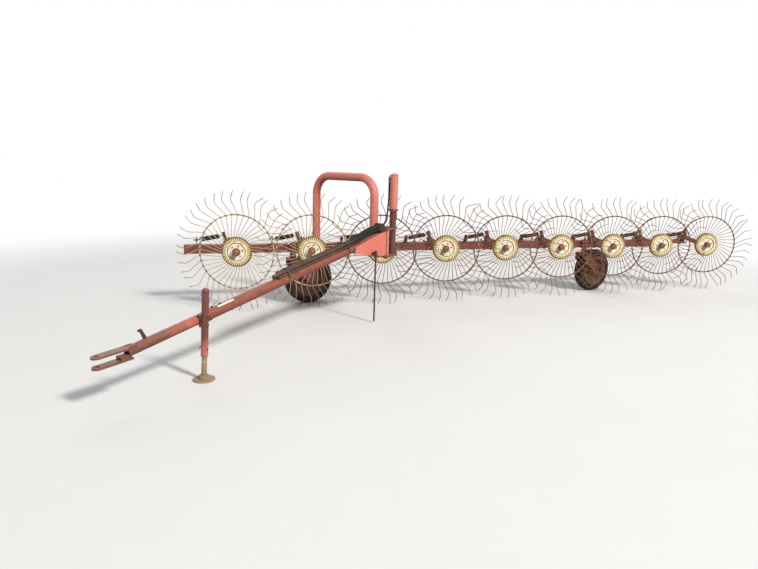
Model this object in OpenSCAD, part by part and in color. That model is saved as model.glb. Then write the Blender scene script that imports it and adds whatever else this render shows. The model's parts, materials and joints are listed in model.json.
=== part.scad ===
// Towed finger-wheel hay rake: nine ground-driven tined wheels on one toolbar.
// Row axes: x along the toolbar from the leading wheel, y to the rear, z up from the ground.
// Every piece is moved at the end so that the hitch pin is the origin.

/* [Rake wheels] */
// Number of tined wheels
wheel_count = 9; // [3:1:9]
// Distance between neighbouring hubs along the row
wheel_pitch = 855; // [820:5:900]
// Angle of each wheel's plane to the row
wheel_set = 18.8; // [16:0.2:20]
// Height of the hubs
hub_z = 692; // [692:1:720]
// Radius over the tine tips
tip_r = 680; // [660:5:690]
// Radius of the ring that ties the tines
ring_r = 415; // [400:5:450]
// Tines on each wheel
tine_count = 40; // [24:1:40]
// Wire size of a tine
tine_d = 8; // [7:0.5:10]
// Width of the tie ring's bar
ring_d = 16; // [12:1:20]
// Thickness of the tie ring's bar
ring_t = 12; // [11:0.5:16]

/* [Hubs] */
// Radius of the clamp plates
plate_r = 170; // [165:1:190]
// Radius of the front plate, which leaves the tines' roots open
front_r = 157; // [150:1:162]
// Radius of the sunk inner disc
dish_r = 105; // [95:1:112]
// Depth of the sunk inner disc
dish_h = 10; // [6:1:16]
// Circle of the six holes
hole_circle = 67; // [60:1:80]
// Diameter of the six holes
hole_d = 18; // [10:1:22]
// Thickness of one clamp plate
plate_t = 8; // [6:1:12]
// Radius of the hub cap
cap_r = 36; // [30:1:42]
// How far the cap stands out of the plate
cap_h = 62; // [40:1:80]
// Radius of the axle
axle_r = 19.5; // [15:0.5:22]
// Clearance of the axle in its hub
axle_gap = 0.3; // [0.2:0.1:0.6]

/* [Toolbar] */
// Side of the square toolbar tube
bar_size = 100; // [90:1:110]
// Distance of the toolbar behind the hub line
bar_y = 400; // [390:5:430]
// Height of the toolbar's centre line
bar_z = 675; // [670:1:690]
// Length of the toolbar ahead of the first hub
bar_lead = 560; // [520:10:700]
// Wall of the square and round tubes
wall = 6; // [4:0.5:8]
// Side of the thinner end extension
stub_size = 60; // [50:1:70]

/* [Hoop and mast] */
// Diameter of the hoop tube
hoop_d = 95; // [80:1:100]
// Height of the hoop's top centre line
hoop_z = 1550; // [1470:5:1600]
// Bend radius of the hoop
hoop_bend = 210; // [180:5:240]
// Diameter of the mast's upper tube
mast_d = 92; // [84:1:96]
// Diameter of the mast's lower tube
mast_low_d = 76; // [70:1:80]
// Height of the mast's top
mast_z = 1605; // [1500:5:1640]

/* [Tongue] */
// Diameter of the rear tube
tongue_d = 89; // [84:1:96]
// Diameter of the front tube, which slides in the rear one
front_d = 76; // [66:1:76]
// Height of the tongue's axis at the hinge
tongue_z = 950; // [920:1:970]
// Height of the hitch pin
hitch_z = 355; // [320:5:380]
// Diameter of the hitch pin hole
hitch_bore = 32; // [26:1:36]
// Clear gap between the clevis bars
clevis_gap = 60; // [50:1:64]
// Diameter of a hydraulic hose on the tongue
hose_d = 28; // [24:1:28]
// Diameter of the thin hose on the mast
thin_d = 18; // [14:1:20]
// Diameter of the prop rod
prop_d = 18; // [14:1:22]

/* [Carrying wheels] */
// Radius of the tyres
tyre_r = 300; // [290:1:305]
// Width of the tyres
tyre_w = 150; // [130:1:160]
// Trail of a castor wheel behind its post
trail = 200; // [190:1:215]
// Heading of the castors to the row
castor_yaw = 11; // [0:1:30]

/* [Hidden] */
// Node names: the frame's pieces, the tongue's, the castors' and two for each rake wheel
RAKE_NODES = [for (k = [1:wheel_count]) for (part = ["rake_tines_", "rake_hub_"]) str(part, k)];
FRAME_NODES = ["toolbar", "bar_extension", "crank_sleeves", "float_cranks", "spring_posts",
  "float_springs", "hoop", "hoop_saddle", "mast", "mast_collar", "mast_rib", "mast_hose",
  "hinge_bracket", "hinge_pin", "castor_sleeves"];
TONGUE_NODES = ["hinge_sleeve", "gusset_plates", "tongue_rear", "tongue_front", "hitch_clevis",
  "clevis_block", "tow_hook", "jack_bracket", "jack_tube", "hose_bundle", "hose_guide",
  "hose_straps", "prop_bracket", "prop_rod"];
JACK_NODES = ["jack_leg", "jack_foot"];
CASTOR_NODES = ["front_fork", "rear_fork", "front_tyre", "rear_tyre", "front_rim", "rear_rim"];

$fn = 48;
red = "#9c3a2c";
salmon = "#cf6a58";
rust = "#6b3a26";
cream = "#d9cfa0";
dark = "#3a2a26";

// Places in row axes
hinge = [1600, -460];
hitch = [-1105, -2530];
mast_xy = [1712, -350];
hoop_front = [1486, -339];
hoop_rear = [990, bar_y];
front_post = [685, 310];
rear_post = [4900, 310];

// The tongue: its heading, slope and lengths from the hinge
pin_over = 20;
reach = norm(hitch - hinge);
tongue_yaw = atan2(hitch[1] - hinge[1], hitch[0] - hinge[0]);
drop = tongue_z - (hitch_z - pin_over);
slope = atan2(drop, reach);
axis_len = norm([reach, drop]);
gusset_from = 105;
gusset_flat = 170;
gusset_knee = 425;
gusset_end = 650;
gusset_t = 10;
web_t = 40;
rear_from = 130;
rear_to = 2560;
front_from = 2300;
front_to = axis_len - 215;
clevis_pitch = 3;

// The parking jack beside the front tube, leaning outwards from its foot
jack_at = 2628;
jack_lean = 4;
jack_d = 55;
jack_side = front_d / 2 + jack_d / 2 + 6;
jack_z = tongue_z - jack_at * sin(slope);
jack_len = jack_z / cos(jack_lean);
leg_d = 42;

// The hinge's heights
sleeve_low = 700;
sleeve_high = 980;
lug_t = 20;
lug_gap = 1;
bracket_z = sleeve_low - lug_gap;
sleeve_r = 28;
pin_r = 18;

// The floating cranks in a wheel's own axes: u to the right, n to the front, z up
crank_u = -180;
crank_z = 762;
lever_lean = 40;
arm_n = -250;
sleeve_n0 = -275;
sleeve_len = 150;
lever_z = 880;
lever_w = 44;
spring_up = 88;
spring_dip = 10;
spring_len = 280;
spring_r = 28;
post_t = 8;
post_front = 34;

bar_top = bar_z + bar_size / 2;
bar_end = (wheel_count - 2) * wheel_pitch + 120;
stub_end = (wheel_count - 1) * wheel_pitch - 40;

// Moves a piece from row axes to the hitch pin
module at_hitch() {
  translate([-hitch[0], -hitch[1], -hitch_z]) children();
}

// Rake wheel k's own axes: x to the right, y up, z to the front
module at_wheel(k) {
  translate([k * wheel_pitch, 0, hub_z]) rotate([0, 0, -wheel_set]) rotate([90, 0, 0]) children();
}

// Point (u, n) of rake wheel k in row axes
function row_xy(k, u, n) = [
  k * wheel_pitch + u * cos(wheel_set) - n * sin(wheel_set),
  -u * sin(wheel_set) - n * cos(wheel_set)
];

// The tongue's axes: x from the hinge to the hitch along the sloping tube, z up from it
module on_tongue() {
  translate([hinge[0], hinge[1], tongue_z]) rotate([0, slope, tongue_yaw]) children();
}

// A castor's axes: x backwards along its trail, z up from the ground at the post
module at_post(p) {
  translate([p[0], p[1], 0]) rotate([0, 0, castor_yaw]) children();
}

module tube(d, h, t = wall) {
  difference() {
    cylinder(d = d, h = h);
    translate([0, 0, -1]) cylinder(d = d - 2 * t, h = h + 2);
  }
}

module square_tube(side, length, t = wall) {
  rotate([0, 90, 0]) linear_extrude(length) difference() {
    square(side, center = true);
    square(side - 2 * t, center = true);
  }
}

/* Tined wheels */

// A tine's bends: radius and angle, clockwise negative
knee_r = ring_r + 0.65 * (tip_r - ring_r);
TINE_BENDS = [[plate_r - 14, 0], [ring_r, -12], [knee_r, -3], [tip_r, -6]];

function polar(r, a) = [r * cos(a), r * sin(a)];
function bend_point(i) = polar(TINE_BENDS[i][0], 90 + TINE_BENDS[i][1]);
function across(a, b) = let (d = (b - a) / norm(b - a)) [-d[1], d[0]];

// One tine as a bent bar of constant width, its ends square
module tine() {
  pts = [for (i = [0:3]) bend_point(i)];
  side = [for (i = [0:3])
    i == 0 ? across(pts[0], pts[1])
    : i == 3 ? across(pts[2], pts[3])
    : (across(pts[i - 1], pts[i]) + across(pts[i], pts[i + 1])) / 2];
  left = [for (i = [0:3]) pts[i] + side[i] * tine_d / 2];
  right = [for (i = [3:-1:0]) pts[i] - side[i] * tine_d / 2];
  polygon(concat(left, right));
}

// A flat ring of straight lengths, each length centred on a tine
module ring(r_out, r_in, turn) {
  corners = [for (i = [0:tine_count - 1]) turn + 360 / tine_count * (i + 0.5)];
  difference() {
    polygon([for (a = corners) polar(r_out, a)]);
    polygon([for (a = corners) polar(r_in, a)]);
  }
}

module rake_tines(k) {
  spacer_in = (plate_r - 40) / cos(180 / tine_count);
  color(rust) at_hitch() at_wheel(k) rotate(3 * k) {
    linear_extrude(ring_t, center = true) ring(ring_r + ring_d / 2, ring_r - ring_d / 2, 90 + TINE_BENDS[1][1]);
    linear_extrude(tine_d - 2, center = true) ring(plate_r + 3, spacer_in, 90);
    for (i = [0:tine_count - 1]) rotate(360 / tine_count * i) linear_extrude(tine_d, center = true) tine();
  }
}

// Radial ribs pressed in the front plate, one over each tine
module plate_ribs(r_in, r_out) {
  step = 360 / tine_count;
  difference() {
    polygon([for (i = [0:tine_count - 1]) for (q = [[r_in, -0.3], [r_out, -0.2], [r_out, 0.2], [r_in, 0.3]])
      polar(q[0], step * (i + q[1]))]);
    circle(r_in - 4);
  }
}

// Clamp plates, sunk dish, ribs, bearing barrel and cap on one axis
module rake_hub(k) {
  half = tine_d / 2;
  front = half + plate_t;
  lip = front + dish_h;
  rib_from = half + 1;
  rib_top = lip - 5;
  color(cream) at_hitch() at_wheel(k) difference() {
    union() {
      rotate_extrude() polygon([[0, -70], [46, -70], [46, -front], [plate_r, -front], [plate_r, -half],
        [plate_r - 40, -half], [plate_r - 40, half], [front_r, half], [front_r, half + 3],
        [dish_r + 8, lip], [dish_r, lip], [dish_r - 3, front], [cap_r + 10, front],
        [cap_r, front + 8], [cap_r, front + cap_h - 14], [cap_r - 14, front + cap_h],
        [0, front + cap_h]]);
      translate([0, 0, rib_from]) linear_extrude(rib_top - rib_from) plate_ribs(dish_r + 12, front_r - 5);
    }
    translate([0, 0, -71]) cylinder(r = axle_r + axle_gap, h = 71 + 42);
    for (i = [0:5]) rotate(60 * i + 15) translate([hole_circle, 0, -front - 1]) cylinder(d = hole_d, h = 60);
  }
}

/* Toolbar and floating cranks */

module toolbar() {
  color(red) at_hitch() translate([-bar_lead, bar_y, bar_z]) square_tube(bar_size, bar_lead + bar_end);
}

module bar_extension() {
  color(red) at_hitch() translate([bar_end, bar_y, bar_z]) {
    rotate([0, 90, 0]) linear_extrude(10) square(bar_size, center = true);
    translate([10, 0, (bar_size - stub_size) / 2]) square_tube(stub_size, stub_end - bar_end);
  }
}

// A sleeve lies across the toolbar on a saddle block, square to its wheel
module crank_sleeves() {
  color(dark) at_hitch() for (k = [0:wheel_count - 1]) at_wheel(k) {
    translate([crank_u, crank_z - hub_z, sleeve_n0 - sleeve_len]) difference() {
      union() {
        cylinder(r = 36, h = sleeve_len);
        translate([-30, bar_top - crank_z, 20]) cube([60, crank_z - bar_top, sleeve_len - 40]);
      }
      translate([0, 0, -1]) cylinder(r = 24, h = sleeve_len + 2);
    }
  }
}

// A lever's own axes at its pivot: x across it, y along it, z to the front
lever_turn = atan2(lever_lean, lever_z - crank_z);
module on_lever() {
  translate([crank_u, crank_z - hub_z, arm_n - 16]) rotate(lever_turn) children();
}

// Bell crank: axle pin, arm, pivot shaft and the leaning lever for the spring
module float_cranks() {
  shaft_end = sleeve_n0 - sleeve_len - 25;
  rise = crank_z - hub_z;
  color(red) at_hitch() for (k = [0:wheel_count - 1]) at_wheel(k) {
    translate([0, 0, arm_n]) cylinder(r = axle_r, h = 35 - arm_n);
    translate([crank_u, rise, shaft_end]) cylinder(r = 23.7, h = arm_n - shaft_end);
    translate([crank_u, rise, shaft_end]) cylinder(r = 34, h = 14);
    translate([0, 0, arm_n - 16]) linear_extrude(16) {
      circle(34);
      translate([crank_u, rise]) circle(34);
      polygon([[0, 30], [0, -30], [crank_u, rise - 30], [crank_u, rise + 30]]);
    }
    on_lever() translate([-lever_w / 2, 0, 1]) cube([lever_w, norm([lever_lean, lever_z - crank_z]), 14]);
  }
}

// Where a spring meets its lever's side, in row axes
function spring_end(k) = let (
    u = crank_u - lever_w / 2 * cos(lever_turn) - spring_up * sin(lever_turn),
    up = spring_up * cos(lever_turn) - lever_w / 2 * sin(lever_turn),
    p = row_xy(k, u, arm_n - 8)) [p[0], p[1], crank_z + up];
function spring_low(k) = spring_end(k) - spring_len * [1, 0, tan(spring_dip)];

// A tapering post on a foot behind each spring's lower end
module spring_posts() {
  color(dark) at_hitch() for (k = [0:wheel_count - 1]) {
    p = spring_low(k);
    top = p[2] + spring_r + 8 - bar_top;
    back = bar_y - p[1];
    translate([p[0] - post_t, p[1], bar_top]) {
      rotate([90, 0, 90]) linear_extrude(post_t) polygon([[back - bar_size / 2 + 4, 0], [back, 0], [back, 8],
        [post_front, top], [-post_front, top], [-post_front, top - 2 * post_front]]);
      translate([-40, back - bar_size / 2, 0]) cube([90, 60, 6]);
    }
  }
}

// Each spring rises along the toolbar from its post to the turned face of its lever
module float_springs() {
  color(dark) at_hitch() for (k = [0:wheel_count - 1]) {
    p = spring_end(k);
    difference() {
      translate(p + spring_r * [1, 0, tan(spring_dip)]) rotate([0, -90 - spring_dip, 0])
        cylinder(r = spring_r, h = spring_len + 3 * spring_r);
      at_wheel(k) on_lever() translate([-lever_w / 2, -100, -100]) cube([150, 400, 200]);
      translate(spring_low(k) - [150, 100, 100]) cube([150, 200, 200]);
    }
  }
}

/* Hoop, mast and hinge */

hoop_span = norm(hoop_front - hoop_rear);
hoop_yaw = atan2(hoop_front[1] - hoop_rear[1], hoop_front[0] - hoop_rear[0]);
hoop_low_front = bracket_z;

// One quarter bend of the hoop tube, from straight up to level
module hoop_elbow() {
  rotate([90, 0, 0]) translate([-hoop_bend, 0, 0]) rotate_extrude(angle = 90)
    translate([hoop_bend, 0]) circle(d = hoop_d);
}

module hoop() {
  knee = hoop_z - hoop_bend;
  color(salmon) at_hitch() translate([hoop_rear[0], hoop_rear[1], 0]) rotate([0, 0, hoop_yaw]) {
    translate([0, 0, bar_top + 12]) cylinder(d = hoop_d, h = knee - bar_top - 12);
    translate([0, 0, knee]) mirror([1, 0, 0]) hoop_elbow();
    translate([hoop_bend, 0, hoop_z]) rotate([0, 90, 0]) cylinder(d = hoop_d, h = hoop_span - 2 * hoop_bend);
    translate([hoop_span, 0, knee]) hoop_elbow();
    translate([hoop_span, 0, hoop_low_front]) cylinder(d = hoop_d, h = knee - hoop_low_front);
  }
}

module hoop_saddle() {
  color(red) at_hitch() translate([hoop_rear[0], hoop_rear[1], bar_top]) {
    translate([-90, -bar_size / 2, 0]) cube([180, bar_size, 12]);
  }
}

// The mast's lower tube and the wider one on it
collar_z = 1186;
collar_h = 24;
mast_step = collar_z + collar_h;
dome_h = 16;

module mast() {
  color(salmon) at_hitch() translate([mast_xy[0], mast_xy[1], 0]) {
    translate([0, 0, bracket_z]) cylinder(d = mast_low_d, h = mast_step + 40 - bracket_z);
    translate([0, 0, mast_step]) cylinder(d = mast_d, h = mast_z - dome_h - mast_step);
    translate([0, 0, mast_z - dome_h]) cylinder(d1 = mast_d, d2 = mast_d - 44, h = dome_h);
  }
}

module mast_collar() {
  color(red) at_hitch() translate([mast_xy[0], mast_xy[1], collar_z]) difference() {
    cylinder(d = mast_d + 14, h = collar_h);
    translate([0, 0, -1]) cylinder(d = mast_low_d, h = collar_h + 2);
  }
}

// Rib at the mast's foot, on the side away from the hinge
module mast_rib() {
  r = mast_low_d / 2;
  color(salmon) at_hitch() translate([mast_xy[0], mast_xy[1], bracket_z]) difference() {
    rotate([90, 0, -18]) linear_extrude(10, center = true) polygon([[r - 8, 0], [r + 24, 0], [r + 6, 75], [r - 8, 75]]);
    translate([0, 0, -1]) cylinder(r = r, h = 100);
  }
}

// Lower plate under hinge, mast and hoop, and the upper lug from the mast to the pin
module hinge_bracket() {
  color(red) at_hitch() {
    difference() {
      translate([0, 0, bracket_z - lug_t]) linear_extrude(lug_t) lower_plate_2d();
      translate([hinge[0], hinge[1], 0]) cylinder(r = pin_r + 0.1, h = 1200);
    }
    difference() {
      translate([0, 0, sleeve_high + lug_gap]) linear_extrude(lug_t) strap_2d(hinge, mast_xy, 42);
      translate([hinge[0], hinge[1], 0]) cylinder(r = pin_r + 0.1, h = 1200);
      translate([mast_xy[0], mast_xy[1], 0]) cylinder(d = mast_low_d, h = 1200);
    }
  }
}

// A flat strap with round ends between two points
module strap_2d(a, b, r) {
  s = across(a, b) * r;
  translate(a) circle(r);
  translate(b) circle(r + 14);
  polygon([a + s, a - s, b - s, b + s]);
}

// A triangle with round corners under hinge, mast and the hoop's front leg
module lower_plate_2d() {
  polygon([hinge, mast_xy, hoop_front]);
  strap_2d(hinge, mast_xy, 50);
  strap_2d(hinge, hoop_front, 50);
  strap_2d(mast_xy, hoop_front, 50);
}

module hinge_pin() {
  low = bracket_z - lug_t - 20;
  head = sleeve_high + lug_gap + lug_t;
  color(dark) at_hitch() translate([hinge[0], hinge[1], 0]) {
    translate([0, 0, low]) cylinder(r = pin_r, h = head + 5 - low);
    translate([0, 0, head]) cylinder(r = 30, h = 24);
  }
}

module hinge_sleeve() {
  color(salmon) at_hitch() translate([hinge[0], hinge[1], sleeve_low]) difference() {
    cylinder(r = sleeve_r, h = sleeve_high - sleeve_low);
    translate([0, 0, -1]) cylinder(r = pin_r + 0.5, h = 400);
  }
}

/* Tongue */

gusset_high = sleeve_high - 12;

// Level axes under the tongue: x from the hinge towards the hitch, z up from the ground
module on_level() {
  translate([hinge[0], hinge[1], 0]) rotate([0, 0, tongue_yaw]) children();
}

// Height of the tongue's axis at a level distance from the hinge
function axis_z(x) = tongue_z - x * tan(slope);

// Two tapered side plates over the rear tube, and a web and cross plate that join them to the sleeve
module gusset_plates() {
  low = sleeve_low + 6;
  inner = tongue_d / 2 - 2;
  color(salmon) at_hitch() difference() {
    on_level() {
      for (side = [-1, 1]) translate([0, side * (inner + gusset_t / 2), 0]) rotate([90, 0, 0])
        linear_extrude(gusset_t, center = true) polygon([[gusset_from, low], [gusset_knee, low + 42],
          [gusset_end, axis_z(gusset_end) - tongue_d / 2 - 3], [gusset_end - 13, axis_z(gusset_end) + tongue_d / 4],
          [gusset_flat, gusset_high], [gusset_from, gusset_high]]);
      translate([gusset_from + 4, -inner - 1, low + 2]) cube([18, 2 * inner + 2, gusset_high - low - 4]);
      translate([10, -web_t / 2, low + 4]) cube([gusset_from, web_t, gusset_high - low - 8]);
    }
    translate([hinge[0], hinge[1], 0]) cylinder(r = sleeve_r, h = 1200);
    on_tongue() translate([rear_from, 0, 0]) rotate([0, 90, 0]) cylinder(d = tongue_d, h = rear_to - rear_from);
  }
}

module tongue_rear() {
  color(red) at_hitch() on_tongue() translate([rear_from, 0, 0]) rotate([0, 90, 0])
    tube(tongue_d, rear_to - rear_from, (tongue_d - front_d) / 2);
}

module tongue_front() {
  color(salmon) at_hitch() on_tongue() translate([front_from, 0, 0]) rotate([0, 90, 0])
    tube(front_d, front_to - front_from);
}

// The front tube's outside, to seat pieces on it
module tongue_bore() {
  rotate([0, 90, 0]) cylinder(d = front_d, h = front_to);
}

// The clevis's axes: origin in the pin hole, x away from the tongue
module on_clevis() {
  translate([hitch[0], hitch[1], hitch_z]) rotate([0, clevis_pitch, tongue_yaw]) children();
}

// Two flat bars, the upper one let into the tube's end, with one pin hole through both
module hitch_clevis() {
  bar_t = 14;
  bar_w = 76;
  lengths = [240, 275];
  color(red) at_hitch() difference() {
    on_clevis() difference() {
      for (i = [0, 1]) translate([0, 0, (2 * i - 1) * (clevis_gap + bar_t) / 2 - bar_t / 2]) linear_extrude(bar_t) {
        circle(d = bar_w);
        translate([-lengths[i], -bar_w / 2]) square([lengths[i], bar_w]);
      }
      cylinder(d = hitch_bore, h = 200, center = true);
    }
    on_tongue() tongue_bore();
  }
}

// Block on the lower bar, against the tube's end
module clevis_block() {
  color(red) at_hitch() difference() {
    on_clevis() translate([-240, -30, -clevis_gap / 2]) cube([90, 60, 24]);
    on_tongue() translate([0, -100, -100]) cube([front_to, 200, 200]);
  }
}

// A bent flat on the tube, its lip to the front
hook_at = front_to - 170;
module tow_hook() {
  color(dark) at_hitch() on_tongue() difference() {
    translate([hook_at, 0, front_d / 2]) rotate([90, 0, 0]) linear_extrude(12, center = true)
      polygon([[0, -8], [28, -8], [44, 62], [58, 66], [58, 80], [30, 80]]);
    tongue_bore();
  }
}

module on_jack() {
  on_tongue() translate([jack_at, jack_side, 0]) rotate([0, -slope, 0]) rotate([-jack_lean, 0, 0]) children();
}

// Saddle block between the front tube and the jack's tube
module jack_bracket() {
  color(dark) at_hitch() difference() {
    on_tongue() translate([jack_at - 30, front_d / 2 - 14, -50]) cube([60, 38, 100]);
    on_tongue() tongue_bore();
    on_jack() cylinder(d = jack_d, h = 400, center = true);
  }
}

module jack_tube() {
  color(red) at_hitch() on_jack() translate([0, 0, 200 - jack_len]) {
    tube(jack_d, jack_len + 40, 5);
    translate([0, 0, jack_len + 40]) cylinder(d1 = jack_d, d2 = 34, h = 14);
  }
}

module jack_leg() {
  color(dark) at_hitch() on_jack() translate([0, 0, 24 - jack_len]) cylinder(d = leg_d, h = 380);
}

// Flat foot with a boss that the leaning leg stands in
module jack_foot() {
  color(dark) at_hitch() difference() {
    on_jack() translate([0, 0, -jack_len]) rotate([jack_lean, 0, 0]) {
      cylinder(d = 170, h = 10);
      cylinder(d = 76, h = 40);
    }
    on_jack() translate([0, 0, 24 - jack_len]) cylinder(d = leg_d, h = 380);
  }
}

/* Hoses and prop rod */

// A hose's five places round the rear tube: radius and angle from the top
hose_low = (tongue_d + hose_d) / 2;
hose_high = hose_low + 0.9 * hose_d;
HOSES = [[hose_low, -29], [hose_low, 0], [hose_low, 29], [hose_high, -14.5], [hose_high, 14.5]];
HOSE_ENDS = [1690, 1740, 1710, 1670, 1760];

// The bundle leaves the tube and rises to its guide: level distance from the hinge and lift
hose_level = 16;
HOSE_LIFT = [[640, 0], [560, 8], [480, 24], [400, 36], [320, 41], [250, 40], [gusset_flat + hose_level, 35]];
STRAPS = [750, 1635];
guide_h = 88;
strap_w = 24;
strap_t = 3;
cord_gap = 0.3;

// Sideways and upward place of hose i beside the tube's axis
function hose_side(i) = HOSES[i][0] * sin(HOSES[i][1]);
function hose_up(i) = HOSES[i][0] * cos(HOSES[i][1]);

// Point at distance s along the tongue, moved sideways and up from its axis, in level axes
function tongue_point(s, side, up) = [s * cos(slope) + up * sin(slope), side,
  tongue_z - s * sin(slope) + up * cos(slope)];

// Point of hose i at a level distance from the hinge, lifted off the tube
function hose_lifted(i, x, lift) = [x, hose_side(i), axis_z(x) + (hose_up(i) + lift) / cos(slope)];

// The route of hose i from its front end to the guide, its last stretch level
function hose_route(i) = let (last = HOSE_LIFT[len(HOSE_LIFT) - 1]) concat(
  [for (s = [HOSE_ENDS[i], 1500, 1300, 1100, 900, 760]) tongue_point(s, hose_side(i), hose_up(i))],
  [for (q = HOSE_LIFT) hose_lifted(i, q[0], q[1])],
  [hose_lifted(i, last[0], last[1]) - [hose_level, 0, 0]]);

// The thin hose from the guide to the hinge's axis, in level axes
TAIL_ROUTE = [[gusset_from + 4, 0, 1022], [99, 0, 1022], [78, 0, 1032], [55, 0, 1048], [34, 0, 1064], [16, 0, 1079],
  [5, 0, 1092], [0, 0, 1105], [0, 0, 1115]];
// From there to the mast and up its side, in row axes
MAST_ROUTE = [[1600, -460, 1116], [1600, -460, 1126], [1603, -453, 1141], [1612, -432, 1160], [1626, -404, 1180],
  [1638, -372, 1203],
  [1650, -346, 1232], [1658, -334, 1270], [1660, -332, 1330], [1660, -332, 1400], [1660, -332, 1470],
  [1660, -332, 1545]];

// A round tube along a route, its rings square to the route
module swept(route, d, sides = 10) {
  n = len(route);
  ways = [for (i = [0:n - 1]) route[min(i + 1, n - 1)] - route[max(i - 1, 0)]];
  points = [for (i = [0:n - 1]) let (w = ways[i] / norm(ways[i]), a = cross(w, [0.6, -0.8, 0]),
      e = a / norm(a), f = cross(w, e)) for (j = [0:sides - 1])
    route[i] + d / 2 * (cos(360 * j / sides) * e + sin(360 * j / sides) * f)];
  skin = [for (i = [0:n - 2]) for (j = [0:sides - 1]) let (j2 = (j + 1) % sides)
    [i * sides + j, i * sides + j2, (i + 1) * sides + j2, (i + 1) * sides + j]];
  polyhedron(points, concat(skin, [[for (j = [sides - 1:-1:0]) j]],
    [[for (j = [0:sides - 1]) (n - 1) * sides + j]]));
}

module hose_bundle() {
  color(dark) at_hitch() on_level() {
    for (i = [0:len(HOSES) - 1]) swept(hose_route(i), hose_d);
    swept(TAIL_ROUTE, thin_d);
  }
}

// Block on the gusset's top edges that the hoses end in
module hose_guide() {
  color(dark) at_hitch() difference() {
    on_level() translate([gusset_from + 4, -48, gusset_high]) cube([gusset_flat - gusset_from - 4, 96, guide_h]);
    on_tongue() rotate([0, 90, 0]) cylinder(d = tongue_d, h = rear_to);
  }
}

// Two straps round tube and hoses
module hose_straps() {
  color(dark) at_hitch() on_tongue() for (s = STRAPS) translate([s - strap_w / 2, 0, 0]) rotate([90, 0, 90])
    linear_extrude(strap_w) difference() {
      offset(r = strap_t) strap_inside();
      strap_inside();
    }
}

module strap_inside() {
  hull() {
    circle(d = tongue_d + 2 * cord_gap, $fn = 32);
    for (i = [0:len(HOSES) - 1]) translate([hose_side(i), hose_up(i)]) circle(d = hose_d + 2 * cord_gap, $fn = 24);
  }
}

// The thin hose beside the mast
module mast_hose() {
  color(dark) at_hitch() swept(MAST_ROUTE, thin_d);
}

// The prop rod hangs in a sleeve on the gusset's outer face and stops on its head
prop_at = 337;
prop_side = 95;
prop_sleeve = [715, 775];
prop_gap = 0.5;
prop_foot = 15;

module at_prop() {
  on_level() translate([prop_at, prop_side, 0]) children();
}

module prop_bracket() {
  face = tongue_d / 2 - 2 + gusset_t - prop_side;
  color(dark) at_hitch() at_prop() difference() {
    union() {
      translate([0, 0, prop_sleeve[0]]) cylinder(r = prop_d / 2 + 8, h = prop_sleeve[1] - prop_sleeve[0]);
      translate([-18, face, prop_sleeve[1] - 30]) cube([36, -face, 28]);
    }
    translate([0, 0, 600]) cylinder(d = prop_d + 2 * prop_gap, h = 300);
  }
}

module prop_rod() {
  color(dark) at_hitch() at_prop() {
    translate([0, 0, prop_foot]) cylinder(d = prop_d, h = prop_sleeve[1] + 12 - prop_foot);
    translate([0, 0, prop_sleeve[1] + 1]) cylinder(r = prop_d / 2 + 6, h = 10);
  }
}

/* Carrying wheels */

crown_back = 6;
crown_t = 18;
crown_gap = 9;
crown_z = tyre_r + sqrt(tyre_r * tyre_r - pow(trail - crown_back, 2)) + crown_t + crown_gap;
post_r = 28;
post_gap = 0.5;
castor_h = 150;
shoulder_h = 20;
arm_up = 54;
arm_h = 90;

// A sleeve and its arm to the toolbar's face
module castor_sleeves() {
  color(red) at_hitch() for (p = [front_post, rear_post]) translate([p[0], p[1], 0]) {
    difference() {
      union() {
        translate([0, 0, crown_z + shoulder_h]) cylinder(r = post_r + 10, h = castor_h);
        translate([-30, 0, crown_z + shoulder_h + arm_up]) cube([60, bar_y - bar_size / 2 - p[1], arm_h]);
      }
      cylinder(r = post_r + post_gap, h = crown_z + 2 * castor_h);
    }
  }
}

// Post, crown and two legs that carry the axle
module fork(p) {
  leg_y = tyre_w / 2 + 20;
  color(salmon) at_hitch() at_post(p) {
    translate([0, 0, crown_z - 1]) cylinder(r = post_r, h = castor_h + 40);
    translate([0, 0, crown_z - 1]) cylinder(r = post_r + 10, h = shoulder_h);
    translate([0, 0, crown_z + shoulder_h + castor_h + 1]) cylinder(r = post_r + 8, h = 14);
    translate([-52, -leg_y - 5, crown_z - crown_t]) cube([52 + crown_back, 2 * leg_y + 10, crown_t]);
    for (side = [-1, 1]) translate([0, side * leg_y, 0]) rotate([90, 0, 0]) linear_extrude(10, center = true)
      polygon([[-52, crown_z], [-52, crown_z - 100], [trail - 30, tyre_r - 32], [trail + 28, tyre_r - 20],
        [trail + 28, tyre_r + 26], [40, crown_z]]);
    translate([trail, leg_y + 20, tyre_r]) rotate([90, 0, 0]) cylinder(r = 14, h = 2 * leg_y + 40);
  }
}

module at_axle(p) {
  at_post(p) translate([trail, 0, tyre_r]) rotate([90, 0, 0]) children();
}

module tyre(p) {
  w = tyre_w / 2;
  color("#2b2a28") at_hitch() at_axle(p) rotate_extrude() polygon([[196, -w + 28], [212, -w + 10],
    [250, -w], [276, -w + 6], [tyre_r - 6, -w + 24], [tyre_r, -w + 45], [tyre_r, w - 45],
    [tyre_r - 6, w - 24], [276, w - 6], [250, w], [212, w - 10], [196, w - 28]]);
}

module rim(p) {
  w = tyre_w / 2;
  color(salmon) at_hitch() at_axle(p) difference() {
    rotate_extrude() polygon([[0, -w], [30, -w], [30, -8], [150, -8], [176, -w + 20], [205, -w + 16], [212, -w + 10],
      [196, -w + 28], [196, w - 28], [212, w - 10], [205, w - 16], [176, w - 20], [150, 4], [30, 4], [30, w], [0, w]]);
    cylinder(r = 14.3, h = 400, center = true);
  }
}

module front_fork() { fork(front_post); }
module rear_fork() { fork(rear_post); }
module front_tyre() { tyre(front_post); }
module rear_tyre() { tyre(rear_post); }
module front_rim() { rim(front_post); }
module rear_rim() { rim(rear_post); }

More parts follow.
